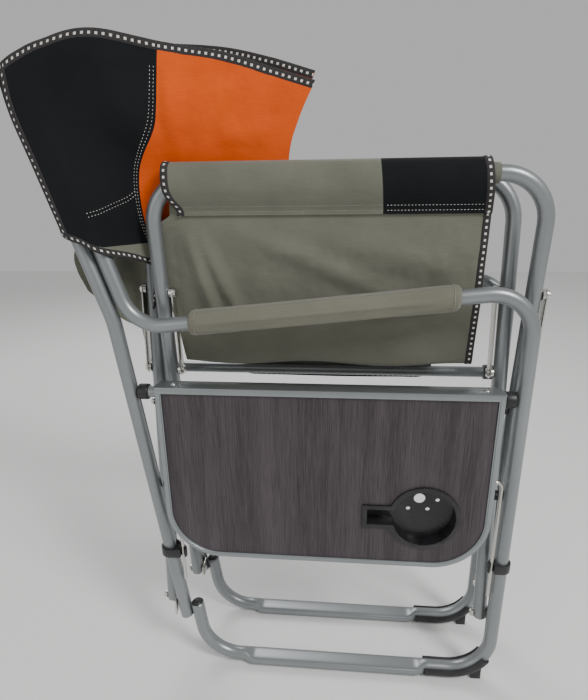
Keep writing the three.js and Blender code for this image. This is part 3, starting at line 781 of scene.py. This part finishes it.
def curve_at(points, places):
    """Points of a Catmull-Rom curve through `points`, at fractional positions along their list."""
    p = np.asarray(points, float)
    p = np.vstack([2 * p[0] - p[1], p, 2 * p[-1] - p[-2]])
    base = np.minimum(np.floor(places).astype(int), len(points) - 2)
    t = (places - base)[:, None]
    a, b, c, d = (p[base + k] for k in range(4))
    bend = 2 * a - 5 * b + 4 * c - d
    return 0.5 * (2 * b + (c - a) * t + bend * t ** 2 + (3 * b - a - 3 * c + d) * t ** 3)


def smooth_line(points, count):
    """`count` points along a Catmull-Rom curve through `points`, evenly spaced."""
    steps = 16 * (len(points) - 1)
    fine = curve_at(points, np.arange(steps + 1) / 16)
    run = run_along(fine)
    return sampled(fine, run, np.linspace(0, run[-1], count))


def even_places(points, count):
    """Positions along a list of points that space `count` samples of its curve evenly."""
    fine = np.linspace(0, len(points) - 1, 400)
    run = run_along(curve_at(points, fine))
    return np.interp(np.linspace(0, run[-1], count), run, fine)


def surface(stations, across, along):
    """A smooth grid through rows of control points: `along` rows of `across` points each."""
    lines = [smooth_line(station, across) for station in stations]
    places = even_places([line[across // 2] for line in lines], along)
    columns = [curve_at([line[j] for line in lines], places) for j in range(across)]
    return np.stack(columns, axis=1)


def grid_normals(rows):
    """Unit normals of a grid of points."""
    du = np.gradient(rows, axis=0)
    dv = np.gradient(rows, axis=1)
    n = np.cross(du, dv)
    return n / np.maximum(np.linalg.norm(n, axis=2, keepdims=True), 1e-9)


def mirrored(rows):
    """The same grid on the far side of the folded chair's middle plane."""
    rows = np.array(rows, float)
    rows[..., 0] = FAR_X - rows[..., 0]
    return rows


def to_frame(rows):
    return np.asarray(rows, float) * MM + np.array(ORIGIN)


def sheet_piece(name, rows, materials, pick=None, thickness=CLOTH):
    """A cloth sheet from a grid in drawing millimetres. `pick(i, j)` chooses a face's material."""
    mesh = grid_mesh(name, to_frame(rows))
    piece = new_piece(name, mesh, materials)
    if pick is not None:
        across = rows.shape[1] - 1
        for face in mesh.polygons:
            i, j = divmod(face.index, across)
            face.material_index = pick(i, j)
    set_all(piece.modifiers.new("thickness", "SOLIDIFY"), thickness=thickness * MM, offset=0)
    return baked(piece, 60)


def cloth_area(rows):
    """A grid's area in square metres."""
    a, b, c, d = rows[:-1, :-1], rows[:-1, 1:], rows[1:, 1:], rows[1:, :-1]
    halves = [np.cross(b - a, c - a), np.cross(c - a, d - a)]
    return sum(np.linalg.norm(h, axis=2).sum() for h in halves) / 2 * MM * MM


def tape_along(name, line, inward, normal, width=10.0, thick=3.6):
    """Binding tape folded over an edge, from arrays of its points, inward directions and normals."""
    run = run_along(line)
    sides = 14
    rows = []
    for point, inner, up in zip(line, inward, normal):
        ring = []
        for k in range(sides):
            angle = 2 * math.pi * k / sides
            across = (0.5 - 0.22 + 0.5 * squared(math.cos(angle), 0.6)) * width
            ring.append(point + inner * across + up * (squared(math.sin(angle), 0.7) * thick / 2))
        rows.append(ring)

    def uv(i, j):
        turn = math.cos(2 * math.pi * j / sides)
        return run[i] * MM, 0.5 * squared(turn, 0.6) * width * MM

    mesh = capped(grid_mesh(name, to_frame(rows), closed_v=True, uv=uv))
    mesh.shade_smooth()
    return new_piece(name, mesh, [tape])


def edge_of(rows, side, start=0, stop=None):
    """A grid's border as (line, inward direction, normal), for tape. `side` is first, last, low or high."""
    normals = grid_normals(rows)
    if side in ("low", "high"):
        rows, normals = rows.swapaxes(0, 1), normals.swapaxes(0, 1)
    if side in ("last", "high"):
        rows, normals = rows[::-1], normals[::-1]
    line, inner, normal = rows[0], rows[2], normals[0]
    cut = slice(start, stop)
    inward = inner - line
    inward /= np.maximum(np.linalg.norm(inward, axis=1, keepdims=True), 1e-9)
    return line[cut], inward[cut], normal[cut]


def stitches(name, line, normal, material, pitch=4.2, length=2.9, thick=0.42, lift=0.75):
    """A row of sewn stitches: short rounded threads that lie on the cloth along a line."""
    line, normal = np.asarray(line, float), np.asarray(normal, float)
    run = run_along(line)
    shape = bmesh.new()
    for s in np.arange(pitch / 2, run[-1] - length / 2, pitch):
        ends = sampled(line, run, (s - length / 2, s, s + length / 2))
        up = sampled(normal, run, s)
        along = ends[2] - ends[0]
        along /= max(np.linalg.norm(along), 1e-9)
        side = np.cross(along, up)
        previous = None
        for centre, size, rise in zip(ends, (0.35, 1.0, 0.35), (0.55, 1.0, 0.55)):
            ring = []
            for k in range(6):
                angle = math.pi * k / 3
                offset = (side * math.cos(angle) + up * math.sin(angle)) * thick * size + up * lift * rise
                ring.append(shape.verts.new(to_frame(centre + offset)))
            if previous:
                for k in range(6):
                    shape.faces.new((previous[k], previous[(k + 1) % 6], ring[(k + 1) % 6], ring[k]))
            else:
                shape.faces.new(ring[::-1])
            previous = ring
        shape.faces.new(previous)
    mesh = new_mesh(name, shape)
    mesh.shade_smooth()
    return new_piece(name, mesh, [material])


def ridge(y, z, start, end, width):
    """Height from 0 to 1 of a crease along a line in the (y, z) plane."""
    a, b = np.array(start, float), np.array(end, float)
    d = b - a
    t = np.clip(((y - a[0]) * d[0] + (z - a[1]) * d[1]) / (d @ d), 0, 1)
    gap = np.hypot(y - a[0] - t * d[0], z - a[1] - t * d[1])
    return np.exp(-(gap / width) ** 2) * np.sin(np.pi * np.clip(0.12 + 0.8 * t, 0, 1))


def creased(rows, creases):
    """The sum of ridges, each given by its height, the (y, z) of its two ends, and its width."""
    return sum(height * ridge(rows[..., 1], rows[..., 2], *crease) for height, *crease in creases)


def mottled(rows, scale, seed):
    """Smooth noise over a grid, from -1 to 1."""
    out = np.zeros(rows.shape[:2])
    for i in range(rows.shape[0]):
        for j in range(rows.shape[1]):
            x, y, z = rows[i, j]
            out[i, j] = noise.noise(Vector((x / scale + seed, y / scale, z / scale)))
    return out


# ---- seat: a sling in two halves, each sleeved on its rail ----
SEAT_FRONT, SEAT_REAR = -196.0, 206.0
HEM_Z, SEAM_GAP = 713.0, 8.0
SEAT_FOOT = 503.5
SEAT_RAIL_X = seat_leg(FAR_X - PIVOT_INSET, -1, LEG_LENGTH)[0]
SEAT_GRID = 150
PATCH_Y = -66.0
PANEL_END = 99
SEAT_PATH = [
    (51.4, SEAT_FOOT), (49.6, SEAT_FOOT + 1.2), (48.2, SEAT_FOOT + 5), (46.6, SEAT_FOOT + 18),
    (42.2, 570), (36.8, 625), (31.6, 675), (28.0, 705), (27.4, 716), (29.4, 728), (34.0, 742), (36.4, 757),
    (33.8, 769), (27.0, 775.5), (19.0, 775.5), (11.6, 769), (8.6, 757), (9.8, 744), (14.6, 732),
    (20.6, 722), (23.4, 717), (24.6, HEM_Z - 1),
]
SEAT_CREASES = [
    (4.5, (150, 712), (-95, 600), 15), (3.5, (40, 700), (-150, 640), 22),
    (5.5, (188, 700), (142, 520), 9), (4.5, (180, 712), (96, 515), 10),
    (3.0, (-185, 690), (-60, 560), 24), (2.5, (-20, 560), (-170, 590), 18),
]


def seat_rows():
    """The hanging panel and the sleeve of one half: a cross-section carried back, then pulled and creased."""
    path = smooth_line(SEAT_PATH, SEAT_GRID)
    places = np.linspace(SEAT_FRONT, SEAT_REAR, SEAT_GRID)
    rows = np.array([np.column_stack([path[:, 0], np.full(SEAT_GRID, y), path[:, 1]]) for y in places])
    y, z = rows[..., 1], rows[..., 2]
    share = (y - SEAT_FRONT) / (SEAT_REAR - SEAT_FRONT)
    panel = np.arange(SEAT_GRID)[None, :] < PANEL_END
    rows[..., 1] += np.where(z > 700, (1 - share) * 8 * np.clip((z - 717) / 55, 0, 1), 0)
    rows[..., 1] -= (1.0 - panel) * share ** 6 * 13 * np.exp(-((z - 716) / 16) ** 2)
    upper = np.clip((z - SEAT_FOOT) / 150, 0, 1) * np.clip((712 - z) / 14, 0, 1)
    rows[..., 1] += panel * share ** 5 * 24 * upper
    low = np.clip((707 - z) / 45, 0, 1) * panel
    free = low * np.clip((z - SEAT_FOOT - 4) / 60, 0.12, 1)
    bulge = creased(rows, SEAT_CREASES)
    bulge += 2.2 * mottled(rows, 85, 3.1) + 1.1 * mottled(rows, 32, 8.4) + 0.35 * mottled(rows, 11, 1.7)
    rows[..., 0] -= 1.7 * bulge * free + 1.5 * free
    sleeve = (1.0 - panel) * np.ones_like(z)
    soft = 0.9 * mottled(rows, 60, 5.5) + 0.4 * mottled(rows, 19, 2.2)
    rows[..., 0] -= sleeve * np.clip((z - 722) / 20, 0, 1) * (rows[..., 0] < SEAT_RAIL_X - 5) * (soft + 0.6)
    curl = np.clip((y - 176) / 30, 0, 1) ** 2 * low
    rows[..., 0] += 7.0 * curl * np.clip((z - SEAT_FOOT) / 60, 0, 1)
    rows[..., 2] += (1 - np.clip((z - SEAT_FOOT) / 120, 0, 1)) * panel * (3.0 * np.sin(y / 34.0 + 0.8) + 2.5)
    return rows


def seat_half(name, far):
    rows = seat_rows()
    if far:
        rows = mirrored(rows)
    sleeve_from = PANEL_END + 4
    patch_row = int(np.argmin(abs(rows[:, -1, 1] - PATCH_Y)))

    def pick(i, j):
        return 1 if j >= sleeve_from and i < patch_row else 0

    cloth_piece = sheet_piece(f"{name}_seat_cloth", rows, [olive, dark_cloth], pick)
    on(cloth_piece, f"{name}_seat_half", "olive_cloth", f"{name}_seat_half")
    normals = grid_normals(rows)
    outward = 1 if far else -1
    trims = [tape_along(f"{name}_seat_front_tape", *edge_of(rows, "first"))]
    trims.append(tape_along(f"{name}_seat_rear_tape", *edge_of(rows, "last", sleeve_from + 2)))
    path_run = run_along(rows[patch_row])[1:]
    parts = (("dark", slice(3, patch_row), thread), ("plain", slice(patch_row, -4), olive_thread))
    for k, back in enumerate((2.5, 2.5 + SEAM_GAP)):
        j = int(np.argmin(abs(path_run - (path_run[-1] - back))))
        up = normals[:, j] * np.sign(normals[:, j, 0:1] * outward)
        for part, cut, material in parts:
            trims.append(stitches(f"{name}_seat_{part}_seam_{k + 1}", rows[cut, j], up[cut], material))
    for trim in trims:
        on(trim, f"{name}_seat_half", "black_cloth")


seat_half("near", False)
seat_half("far", True)
for side in ("near", "far"):
    eased(f"{side}_rail_sleeve", olive, "olive_cloth", 0.4)


# ---- backrest: two halves, each sleeved on its post and folded forward to the middle ----
def post_point(x, z, ahead):
    return (x, back_y(z) - ahead, z)


def sleeve_line(x, foot, ahead, top):
    """One upright line of the post sleeve, `ahead` of the post's axis."""
    return [post_point(x, z, ahead) for z in (foot, 726, 776, 834)] + [top]


BACK_STATIONS = [
    sleeve_line(-2, 692, -17, (-3, 387, 868)),
    sleeve_line(-8, 690, -13, (-9, 382, 879)),
    sleeve_line(-13, 686, -3, (-13, 371, 886)),
    sleeve_line(-14, 680, 12, (-14, 354, 894)),
    sleeve_line(-13.5, 669, 31, (-12, 324, 905)),
    [(22, 258, 658), (13, 272, 709), (7, 286, 776), (-3, 286, 842), (-3, 272, 917)],
    [(46, 228, 645), (42, 245, 706), (35, 242, 768), (21, 211, 824), (17, 199, 906)],
    [(48, 160, 641), (46, 165, 702), (42, 160, 774), (36, 142, 840), (33, 128, 896)],
    [(49, 100, 644), (49, 108, 702), (47, 106, 774), (45, 88, 832), (43, 72, 881)],
    [(50.6, 37, 650), (50.6, 43, 704), (50.6, 53, 776), (50.6, 40, 824), (50.6, 20, 866)],
]
BOUNDARY_STATION = 6
PATCH_TOP, PATCH_ROWS = 676.0, 12
BACK_ACROSS, BACK_ALONG = 96, 190
BACK_HINGE_Z = 780.0
BACK_CLOTH = 2.6
ROUND_POST = ((11, 11), (14.5, 2), (15, -14), (15, -32))
CROSS_SEAM_Y, CROSS_SEAM_Z = (246, 262, 287, 308), (744, 731, 716, 709)
BACK_CREASES = [
    (3.2, (262, 905), (250, 800), 20), (3.5, (226, 850), (236, 760), 12),
    (4.0, (190, 880), (196, 790), 11), (2.8, (300, 790), (262, 730), 14),
    (2.4, (150, 800), (70, 815), 13), (2.0, (165, 830), (60, 870), 20),
]


def back_rows():
    rows = surface(BACK_STATIONS, BACK_ACROSS, BACK_ALONG)
    y, z = rows[..., 1], rows[..., 2]
    past_post = np.clip((back_y(z) - y - 20) / 40, 0, 1)
    near_tip = np.clip((y - 45) / 40, 0, 1)
    bulge = creased(rows, BACK_CREASES)
    bulge += 2.4 * mottled(rows, 70, 12.3) + 1.0 * mottled(rows, 26, 4.4) + 0.3 * mottled(rows, 10, 9.1)
    free = past_post * near_tip * (0.35 + 0.65 * np.clip((z - 780) / 20, 0, 1))
    rows[..., 0] -= 1.4 * bulge * free
    return rows


def levelled(rows):
    """The same surface with its first points gathered below the olive patch's upper edge."""
    out = []
    for column in rows:
        run = run_along(column)
        level = np.interp(max(PATCH_TOP, column[0, 2] + 8), column[:, 2], run)
        places = np.concatenate([np.linspace(0, level, PATCH_ROWS + 1),
                                 np.linspace(level, run[-1], len(column) - PATCH_ROWS)[1:]])
        out.append(sampled(column, run, places))
    return np.array(out)


def split_column(rows):
    """The grid row where black cloth meets orange."""
    top = np.array(BACK_STATIONS[BOUNDARY_STATION][-1])
    return int(np.argmin(np.linalg.norm(rows[:, -1] - top, axis=1)))


def first_beyond(rows, behind):
    """The first line of the grid that is less than `behind` millimetres behind the post's axis."""
    middle = rows[:, BACK_ACROSS // 2]
    return int(np.argmax(middle[:, 1] - back_y(middle[:, 2]) < behind))


def cross_seam(column, normals, rise):
    """The point, and the normal there, where one line of the grid meets the seam across the side."""
    target = np.interp(column[:, 1], CROSS_SEAM_Y, CROSS_SEAM_Z) + rise
    above = column[:, 2] - target
    j = int(np.argmax(above > 0))
    share = above[j] / (above[j] - above[j - 1])
    return column[j] + share * (column[j - 1] - column[j]), normals[j]


def back_half(name, far):
    rows = levelled(back_rows())
    split = split_column(rows)
    if far:
        top = np.clip((rows[..., 2] - 790) / 90, 0, 1)
        rows[..., 2] += 13 * top * np.clip((back_y(BACK_HINGE_Z) - 50 - rows[..., 1]) / 90, 0, 1)
        rows = mirrored(rows)
    outer, inner = rows[: split + 1], rows[split:]

    def pick(i, j):
        return 1 if j < PATCH_ROWS and rows[i, 0, 2] < PATCH_TOP - 6 else 0

    frame_body, half = f"{name}_frame", f"{name}_back_half"

    def trim(part, grid, side, width=11):
        return tape_along(f"{name}_{part}_tape", *edge_of(grid, side), width=width)

    side_area, middle_area = cloth_area(outer), cloth_area(inner)
    dark = sheet_piece(f"{name}_back_side", outer, [dark_cloth, olive], pick, BACK_CLOTH)
    middle = sheet_piece(f"{name}_back_middle", inner, [orange], thickness=BACK_CLOTH)
    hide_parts(f"{name}_back_half")
    lining_rows = lining(rows, split, far)
    lining_piece = sheet_piece(f"{name}_back_lining", lining_rows, [dark_cloth])

    tapes = [trim("back_edge", rows[first_beyond(rows, 11):], "first", 12)]
    tapes += [trim("back_top", outer, "high"), trim("back_foot", outer, "low")]
    middle_tapes = [trim("middle_top", inner, "high"), trim("middle_foot", inner, "low")]

    normals = grid_normals(rows)
    outward = normals * np.sign(normals[..., 0:1] * (1 if far else -1))
    seams = []
    for k, offset in enumerate((2, 4)):
        line, up = rows[split - offset, 8:-7], outward[split - offset, 8:-7]
        seams.append(stitches(f"{name}_boundary_seam_{k + 1}", line, up, thread, lift=1.5))
    for k, rise in enumerate((0.0, 5.0)):
        path = [cross_seam(rows[i], outward[i], rise) for i in range(int(0.36 * split), split - 1)]
        line, up = (np.array(part) for part in zip(*path))
        seams.append(stitches(f"{name}_cross_seam_{k + 1}", line, up, thread, lift=1.5))

    for piece in (dark, lining_piece, *tapes, *seams):
        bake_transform(piece)
    for piece in (middle, *middle_tapes):
        on(piece, half, "black_cloth")


def lining(rows, split, far):
    """The inner layer of the post sleeve, from the bound edge to a seam ahead of the post."""
    sign = -1 if far else 1
    base = FAR_X if far else 0.0
    edge = rows[0]
    stations = []
    for j in range(2, BACK_ACROSS - 2, 6):
        z = edge[j, 2]
        y = back_y(min(z, 872))
        stop = np.array(rows[int(0.8 * split), j])
        stations.append([
            tuple(edge[j] + np.array([0, -1.5, 0])),
            *((base + sign * out, y + behind, z) for out, behind in ROUND_POST),
            tuple(stop + np.array([sign * 2.0, 2, 0])),
        ])
    return surface(stations, 26, 60)


back_half("near", False)
back_half("far", True)


# ---- storage pouch on the back of the backrest ----
def back_pouch():
    stations = [
        [(46, 244, 664), (50, 240, 632), (48, 246, 596), (44, 262, 560)],
        [(28, 274, 668), (22, 272, 634), (24, 276, 596), (32, 284, 552)],
        [(32, 304, 670), (42, 306, 638), (40, 304, 602), (38, 308, 566)],
        [(24, 334, 674), (25, 338, 644), (28, 334, 612), (34, 330, 584)],
        [(30, 362, 676), (34, 368, 652), (36, 364, 630), (38, 352, 606)],
    ]
    rows = mirrored(surface(stations, 60, 90))
    rows[..., 0] += 2.5 * mottled(rows, 34, 6.6) + 0.8 * mottled(rows, 13, 2.9)
    pouch = sheet_piece("back_pouch", rows, [olive])
    on(pouch, "far_back_half", "olive_cloth")
    trim = tape_along("back_pouch_tape", *edge_of(rows, "first"))
    on(trim, "far_back_half", "black_cloth")


back_pouch()


# ---- arm pads: foam round the arm under taut cloth ----
PAD_FRONT, PAD_REAR, PAD_RADIUS = -163.0, 182.0, 16.2
PAD_HEM = 9.0


def pad_rows():
    """Rings of the pad's cover. It is a little flatter on its sides and keeps a soft ridge on top."""
    rows = []
    for y in np.linspace(PAD_FRONT, PAD_REAR, 110):
        rim = min(y - PAD_FRONT, PAD_REAR - y)
        body = PAD_RADIUS * (0.94 + 0.06 * ease(rim / 14))
        tuck = 1 - 0.22 * (1 - ease(rim / 3.2))
        ring = []
        for k in range(48):
            angle = 2 * math.pi * k / 48
            width = squared(math.cos(angle), 0.92) * body * 0.95
            height = squared(math.sin(angle), 1.06) * body * 1.05
            crease = 0.35 * math.sin(7 * angle + y / 31) * math.exp(-((rim - 16) / 9) ** 2)
            grow = tuck * (1 + crease / body)
            ring.append((width * grow, y, arm_z(y) + height * grow))
        rows.append(ring)
    return np.array(rows)


def inflated(piece, pinned, cap):
    """Inflates a cover with a short cloth simulation. No point moves further than `cap` millimetres."""
    before = np.array([v.co for v in piece.data.vertices])
    group = piece.vertex_groups.new(name="pinned")
    group.add(pinned, 1.0, "REPLACE")
    sim = piece.modifiers.new("cloth", "CLOTH")
    set_all(sim.settings, quality=6, mass=0.2, use_pressure=True, uniform_pressure_force=3.0,
            tension_stiffness=12, compression_stiffness=12, shear_stiffness=4, bending_stiffness=0.3,
            vertex_group_mass="pinned")
    sim.settings.effector_weights.gravity = 0
    sim.collision_settings.use_collision = False
    scene = bpy.context.scene
    for number in range(1, 17):
        scene.frame_set(number)
    graph = bpy.context.evaluated_depsgraph_get()
    settled = piece.evaluated_get(graph).to_mesh()
    after = np.array([v.co for v in settled.vertices])
    piece.modifiers.remove(sim)
    move = after - before
    length = np.linalg.norm(move, axis=1, keepdims=True)
    move *= np.minimum(1, cap * MM / np.maximum(length, 1e-9))
    for vertex, place in zip(piece.data.vertices, before + move):
        vertex.co = place
    piece.vertex_groups.clear()
    scene.frame_set(1)


def arm_pad(name, x):
    rows = pad_rows()
    rows[..., 0] += x
    mesh = grid_mesh(f"{name}_pad", to_frame(rows), closed_v=True)
    piece = new_piece(f"{name}_pad", mesh, [pad_cloth])
    ring = rows.shape[1]
    edge = 5 * ring
    pinned = list(range(edge)) + list(range(len(mesh.vertices) - edge, len(mesh.vertices)))
    inflated(piece, pinned, 1.6)
    shape = bmesh.new()
    shape.from_mesh(mesh)
    for end in (0, len(rows) - 1):
        shape.verts.ensure_lookup_table()
        rim = [shape.verts[end * ring + k] for k in range(ring)]
        centre = sum((v.co for v in rim), Vector()) / ring
        collar = [shape.verts.new(centre + (v.co - centre) * 0.82) for v in rim]
        for k in range(ring):
            n = (k + 1) % ring
            shape.faces.new((rim[k], rim[n], collar[n], collar[k]))
    bmesh.ops.recalc_face_normals(shape, faces=shape.faces)
    shape.to_mesh(mesh)
    shape.free()
    shaded(mesh, 60)
    on(piece, f"{name}_frame", "olive_cloth", f"{name}_arm_pad")
    for k, y in enumerate((PAD_FRONT + PAD_HEM, PAD_REAR - PAD_HEM)):
        turn = np.linspace(0, 2 * math.pi, 60)
        around = np.column_stack([np.cos(turn), np.zeros(60), np.sin(turn)])
        spread = PAD_RADIUS * 1.03
        line = around * np.array([spread * 0.95, 1, spread * 1.05]) + np.array([x, y, arm_z(y)])
        seam = stitches(f"{name}_pad_seam_{k + 1}", line, around, olive_thread, lift=0.3)
        on(seam, f"{name}_frame", "olive_cloth")


arm_pad("near", 0.0)
arm_pad("far", FAR_X)


# ---- organiser on the far arm ----
POCKET_FRONT, POCKET_REAR, POCKET_FOOT = -154.0, 139.0, 463.0
POCKET_X = FAR_X + 15.0


def organiser():
    stations = []
    for y in np.linspace(POCKET_FRONT, POCKET_REAR, 7):
        top = arm_z(y) + 1
        stations.append([(POCKET_X - 2.5, y, POCKET_FOOT), (POCKET_X - 1, y, 500), (POCKET_X + 0.5, y, 545),
                         (POCKET_X + 3.2, y, top - 10), (POCKET_X + 3.0, y, top)])
    rows = surface(stations, 60, 110)
    corner = 16.0
    low = rows[..., 2] - POCKET_FOOT
    cut = np.where(low < corner, corner - np.sqrt(np.maximum(corner ** 2 - (corner - low) ** 2, 0)), 0)
    half = (POCKET_REAR - POCKET_FRONT) / 2
    middle = (POCKET_REAR + POCKET_FRONT) / 2
    rows[..., 1] = middle + (rows[..., 1] - middle) * (half - cut) / half
    rows[..., 0] += 0.9 * mottled(rows, 50, 7.7)
    back = sheet_piece("organiser_back", rows, [olive])
    borders = []
    for k, side in enumerate(("first", "last", "low")):
        borders.append(tape_along(f"organiser_tape_{k + 1}", *edge_of(rows, side)))
    sheets = [(back, rows, [])]
    for k, (front, rear, height) in enumerate(((-146, -52, 78), (-44, 36, 92), (44, 131, 66))):
        pocket = pocket_rows(front, rear, height)
        panel = sheet_piece(f"organiser_pocket_{k + 1}", pocket, [olive])
        rim = tape_along(f"organiser_rim_{k + 1}", *edge_of(pocket, "high"), width=9)
        sheets.append((panel, pocket, [rim]))
    for piece, grid, trims in sheets:
        on(piece, "far_frame", "olive_cloth")
        for trim in trims:
            on(trim, "far_frame", "black_cloth")
        area = cloth_area(grid)
        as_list(trims)
    for piece in borders:
        on(piece, "far_frame", "black_cloth")
    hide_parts("side_pocket")


def pocket_rows(front, rear, height):
    """A patch pocket: flat where it is sewn round, and bellied in the middle and at its mouth."""
    rows = []
    for y in np.linspace(front, rear, 48):
        across = math.sin(math.pi * (y - front) / (rear - front)) ** 0.5
        line = []
        for t in np.linspace(0, 1, 36):
            belly = across * (1.2 + 6.5 * math.sin(math.pi * min(1, 0.1 + 0.62 * t)) ** 1.2)
            line.append((POCKET_X + 1.0 + belly, y, POCKET_FOOT + 8 + t * height))
        rows.append(line)
    rows = np.array(rows)
    rows[..., 0] += 0.5 * mottled(rows, 26, 1.2)
    return rows


organiser()


# ---- floor, light and camera ----
def studio_floor():
    mesh = bpy.data.meshes.new("studio_floor")
    reach = 4.0
    corners = [(x * reach, y * reach, 0) for x, y in ((-1, -1), (1, -1), (1, 1), (-1, 1))]
    mesh.from_pydata(corners, [], [(0, 1, 2, 3)])
    ground = new_piece("studio_floor", mesh, [floor_paint])
    ground.location.z = -0.0005


def area_light(name, place, target, size, power):
    data = bpy.data.lights.new(name, "AREA")
    set_all(data, shape="DISK", size=size, energy=power)
    lamp = bpy.data.objects.new(name, data)
    lamp.location = place
    lamp.rotation_euler = (Vector(target) - Vector(place)).to_track_quat("-Z", "Y").to_euler()
    bpy.context.scene.collection.objects.link(lamp)


studio_floor()
world = bpy.data.worlds.new("soft_room")
world.use_nodes = True
sky = world.node_tree.nodes["Background"].inputs
sky["Color"].default_value = (1.0, 1.0, 1.0, 1)
sky["Strength"].default_value = 0.5
bpy.context.scene.world = world
area_light("key", (-1.5, -1.7, 2.5), (0, 0, 0.6), 0.9, 62)
area_light("fill", (-2.2, 1.8, 1.3), (0, 0, 0.5), 2.0, 12)
area_light("rim", (1.8, 0.8, 2.2), (0, 0, 0.6), 1.4, 26)

VIEW_FROM = (-628.4, -14.9, 744.5)
VIEW_ALONG = (0.9475, 0.0895, -0.3071)
VIEW_ROLL = -0.79
LENS = 25.86
camera_data = bpy.data.cameras.new("camera")
set_all(camera_data, sensor_fit="AUTO", sensor_width=36, lens=LENS)
camera = bpy.data.objects.new("camera", camera_data)
bpy.context.scene.collection.objects.link(camera)
camera.location = at(*VIEW_FROM)
look = Vector(VIEW_ALONG).to_track_quat("-Z", "Y").to_matrix()
camera.rotation_euler = (look @ Matrix.Rotation(math.radians(VIEW_ROLL), 3, "Z")).to_euler()
bpy.context.scene.camera = camera
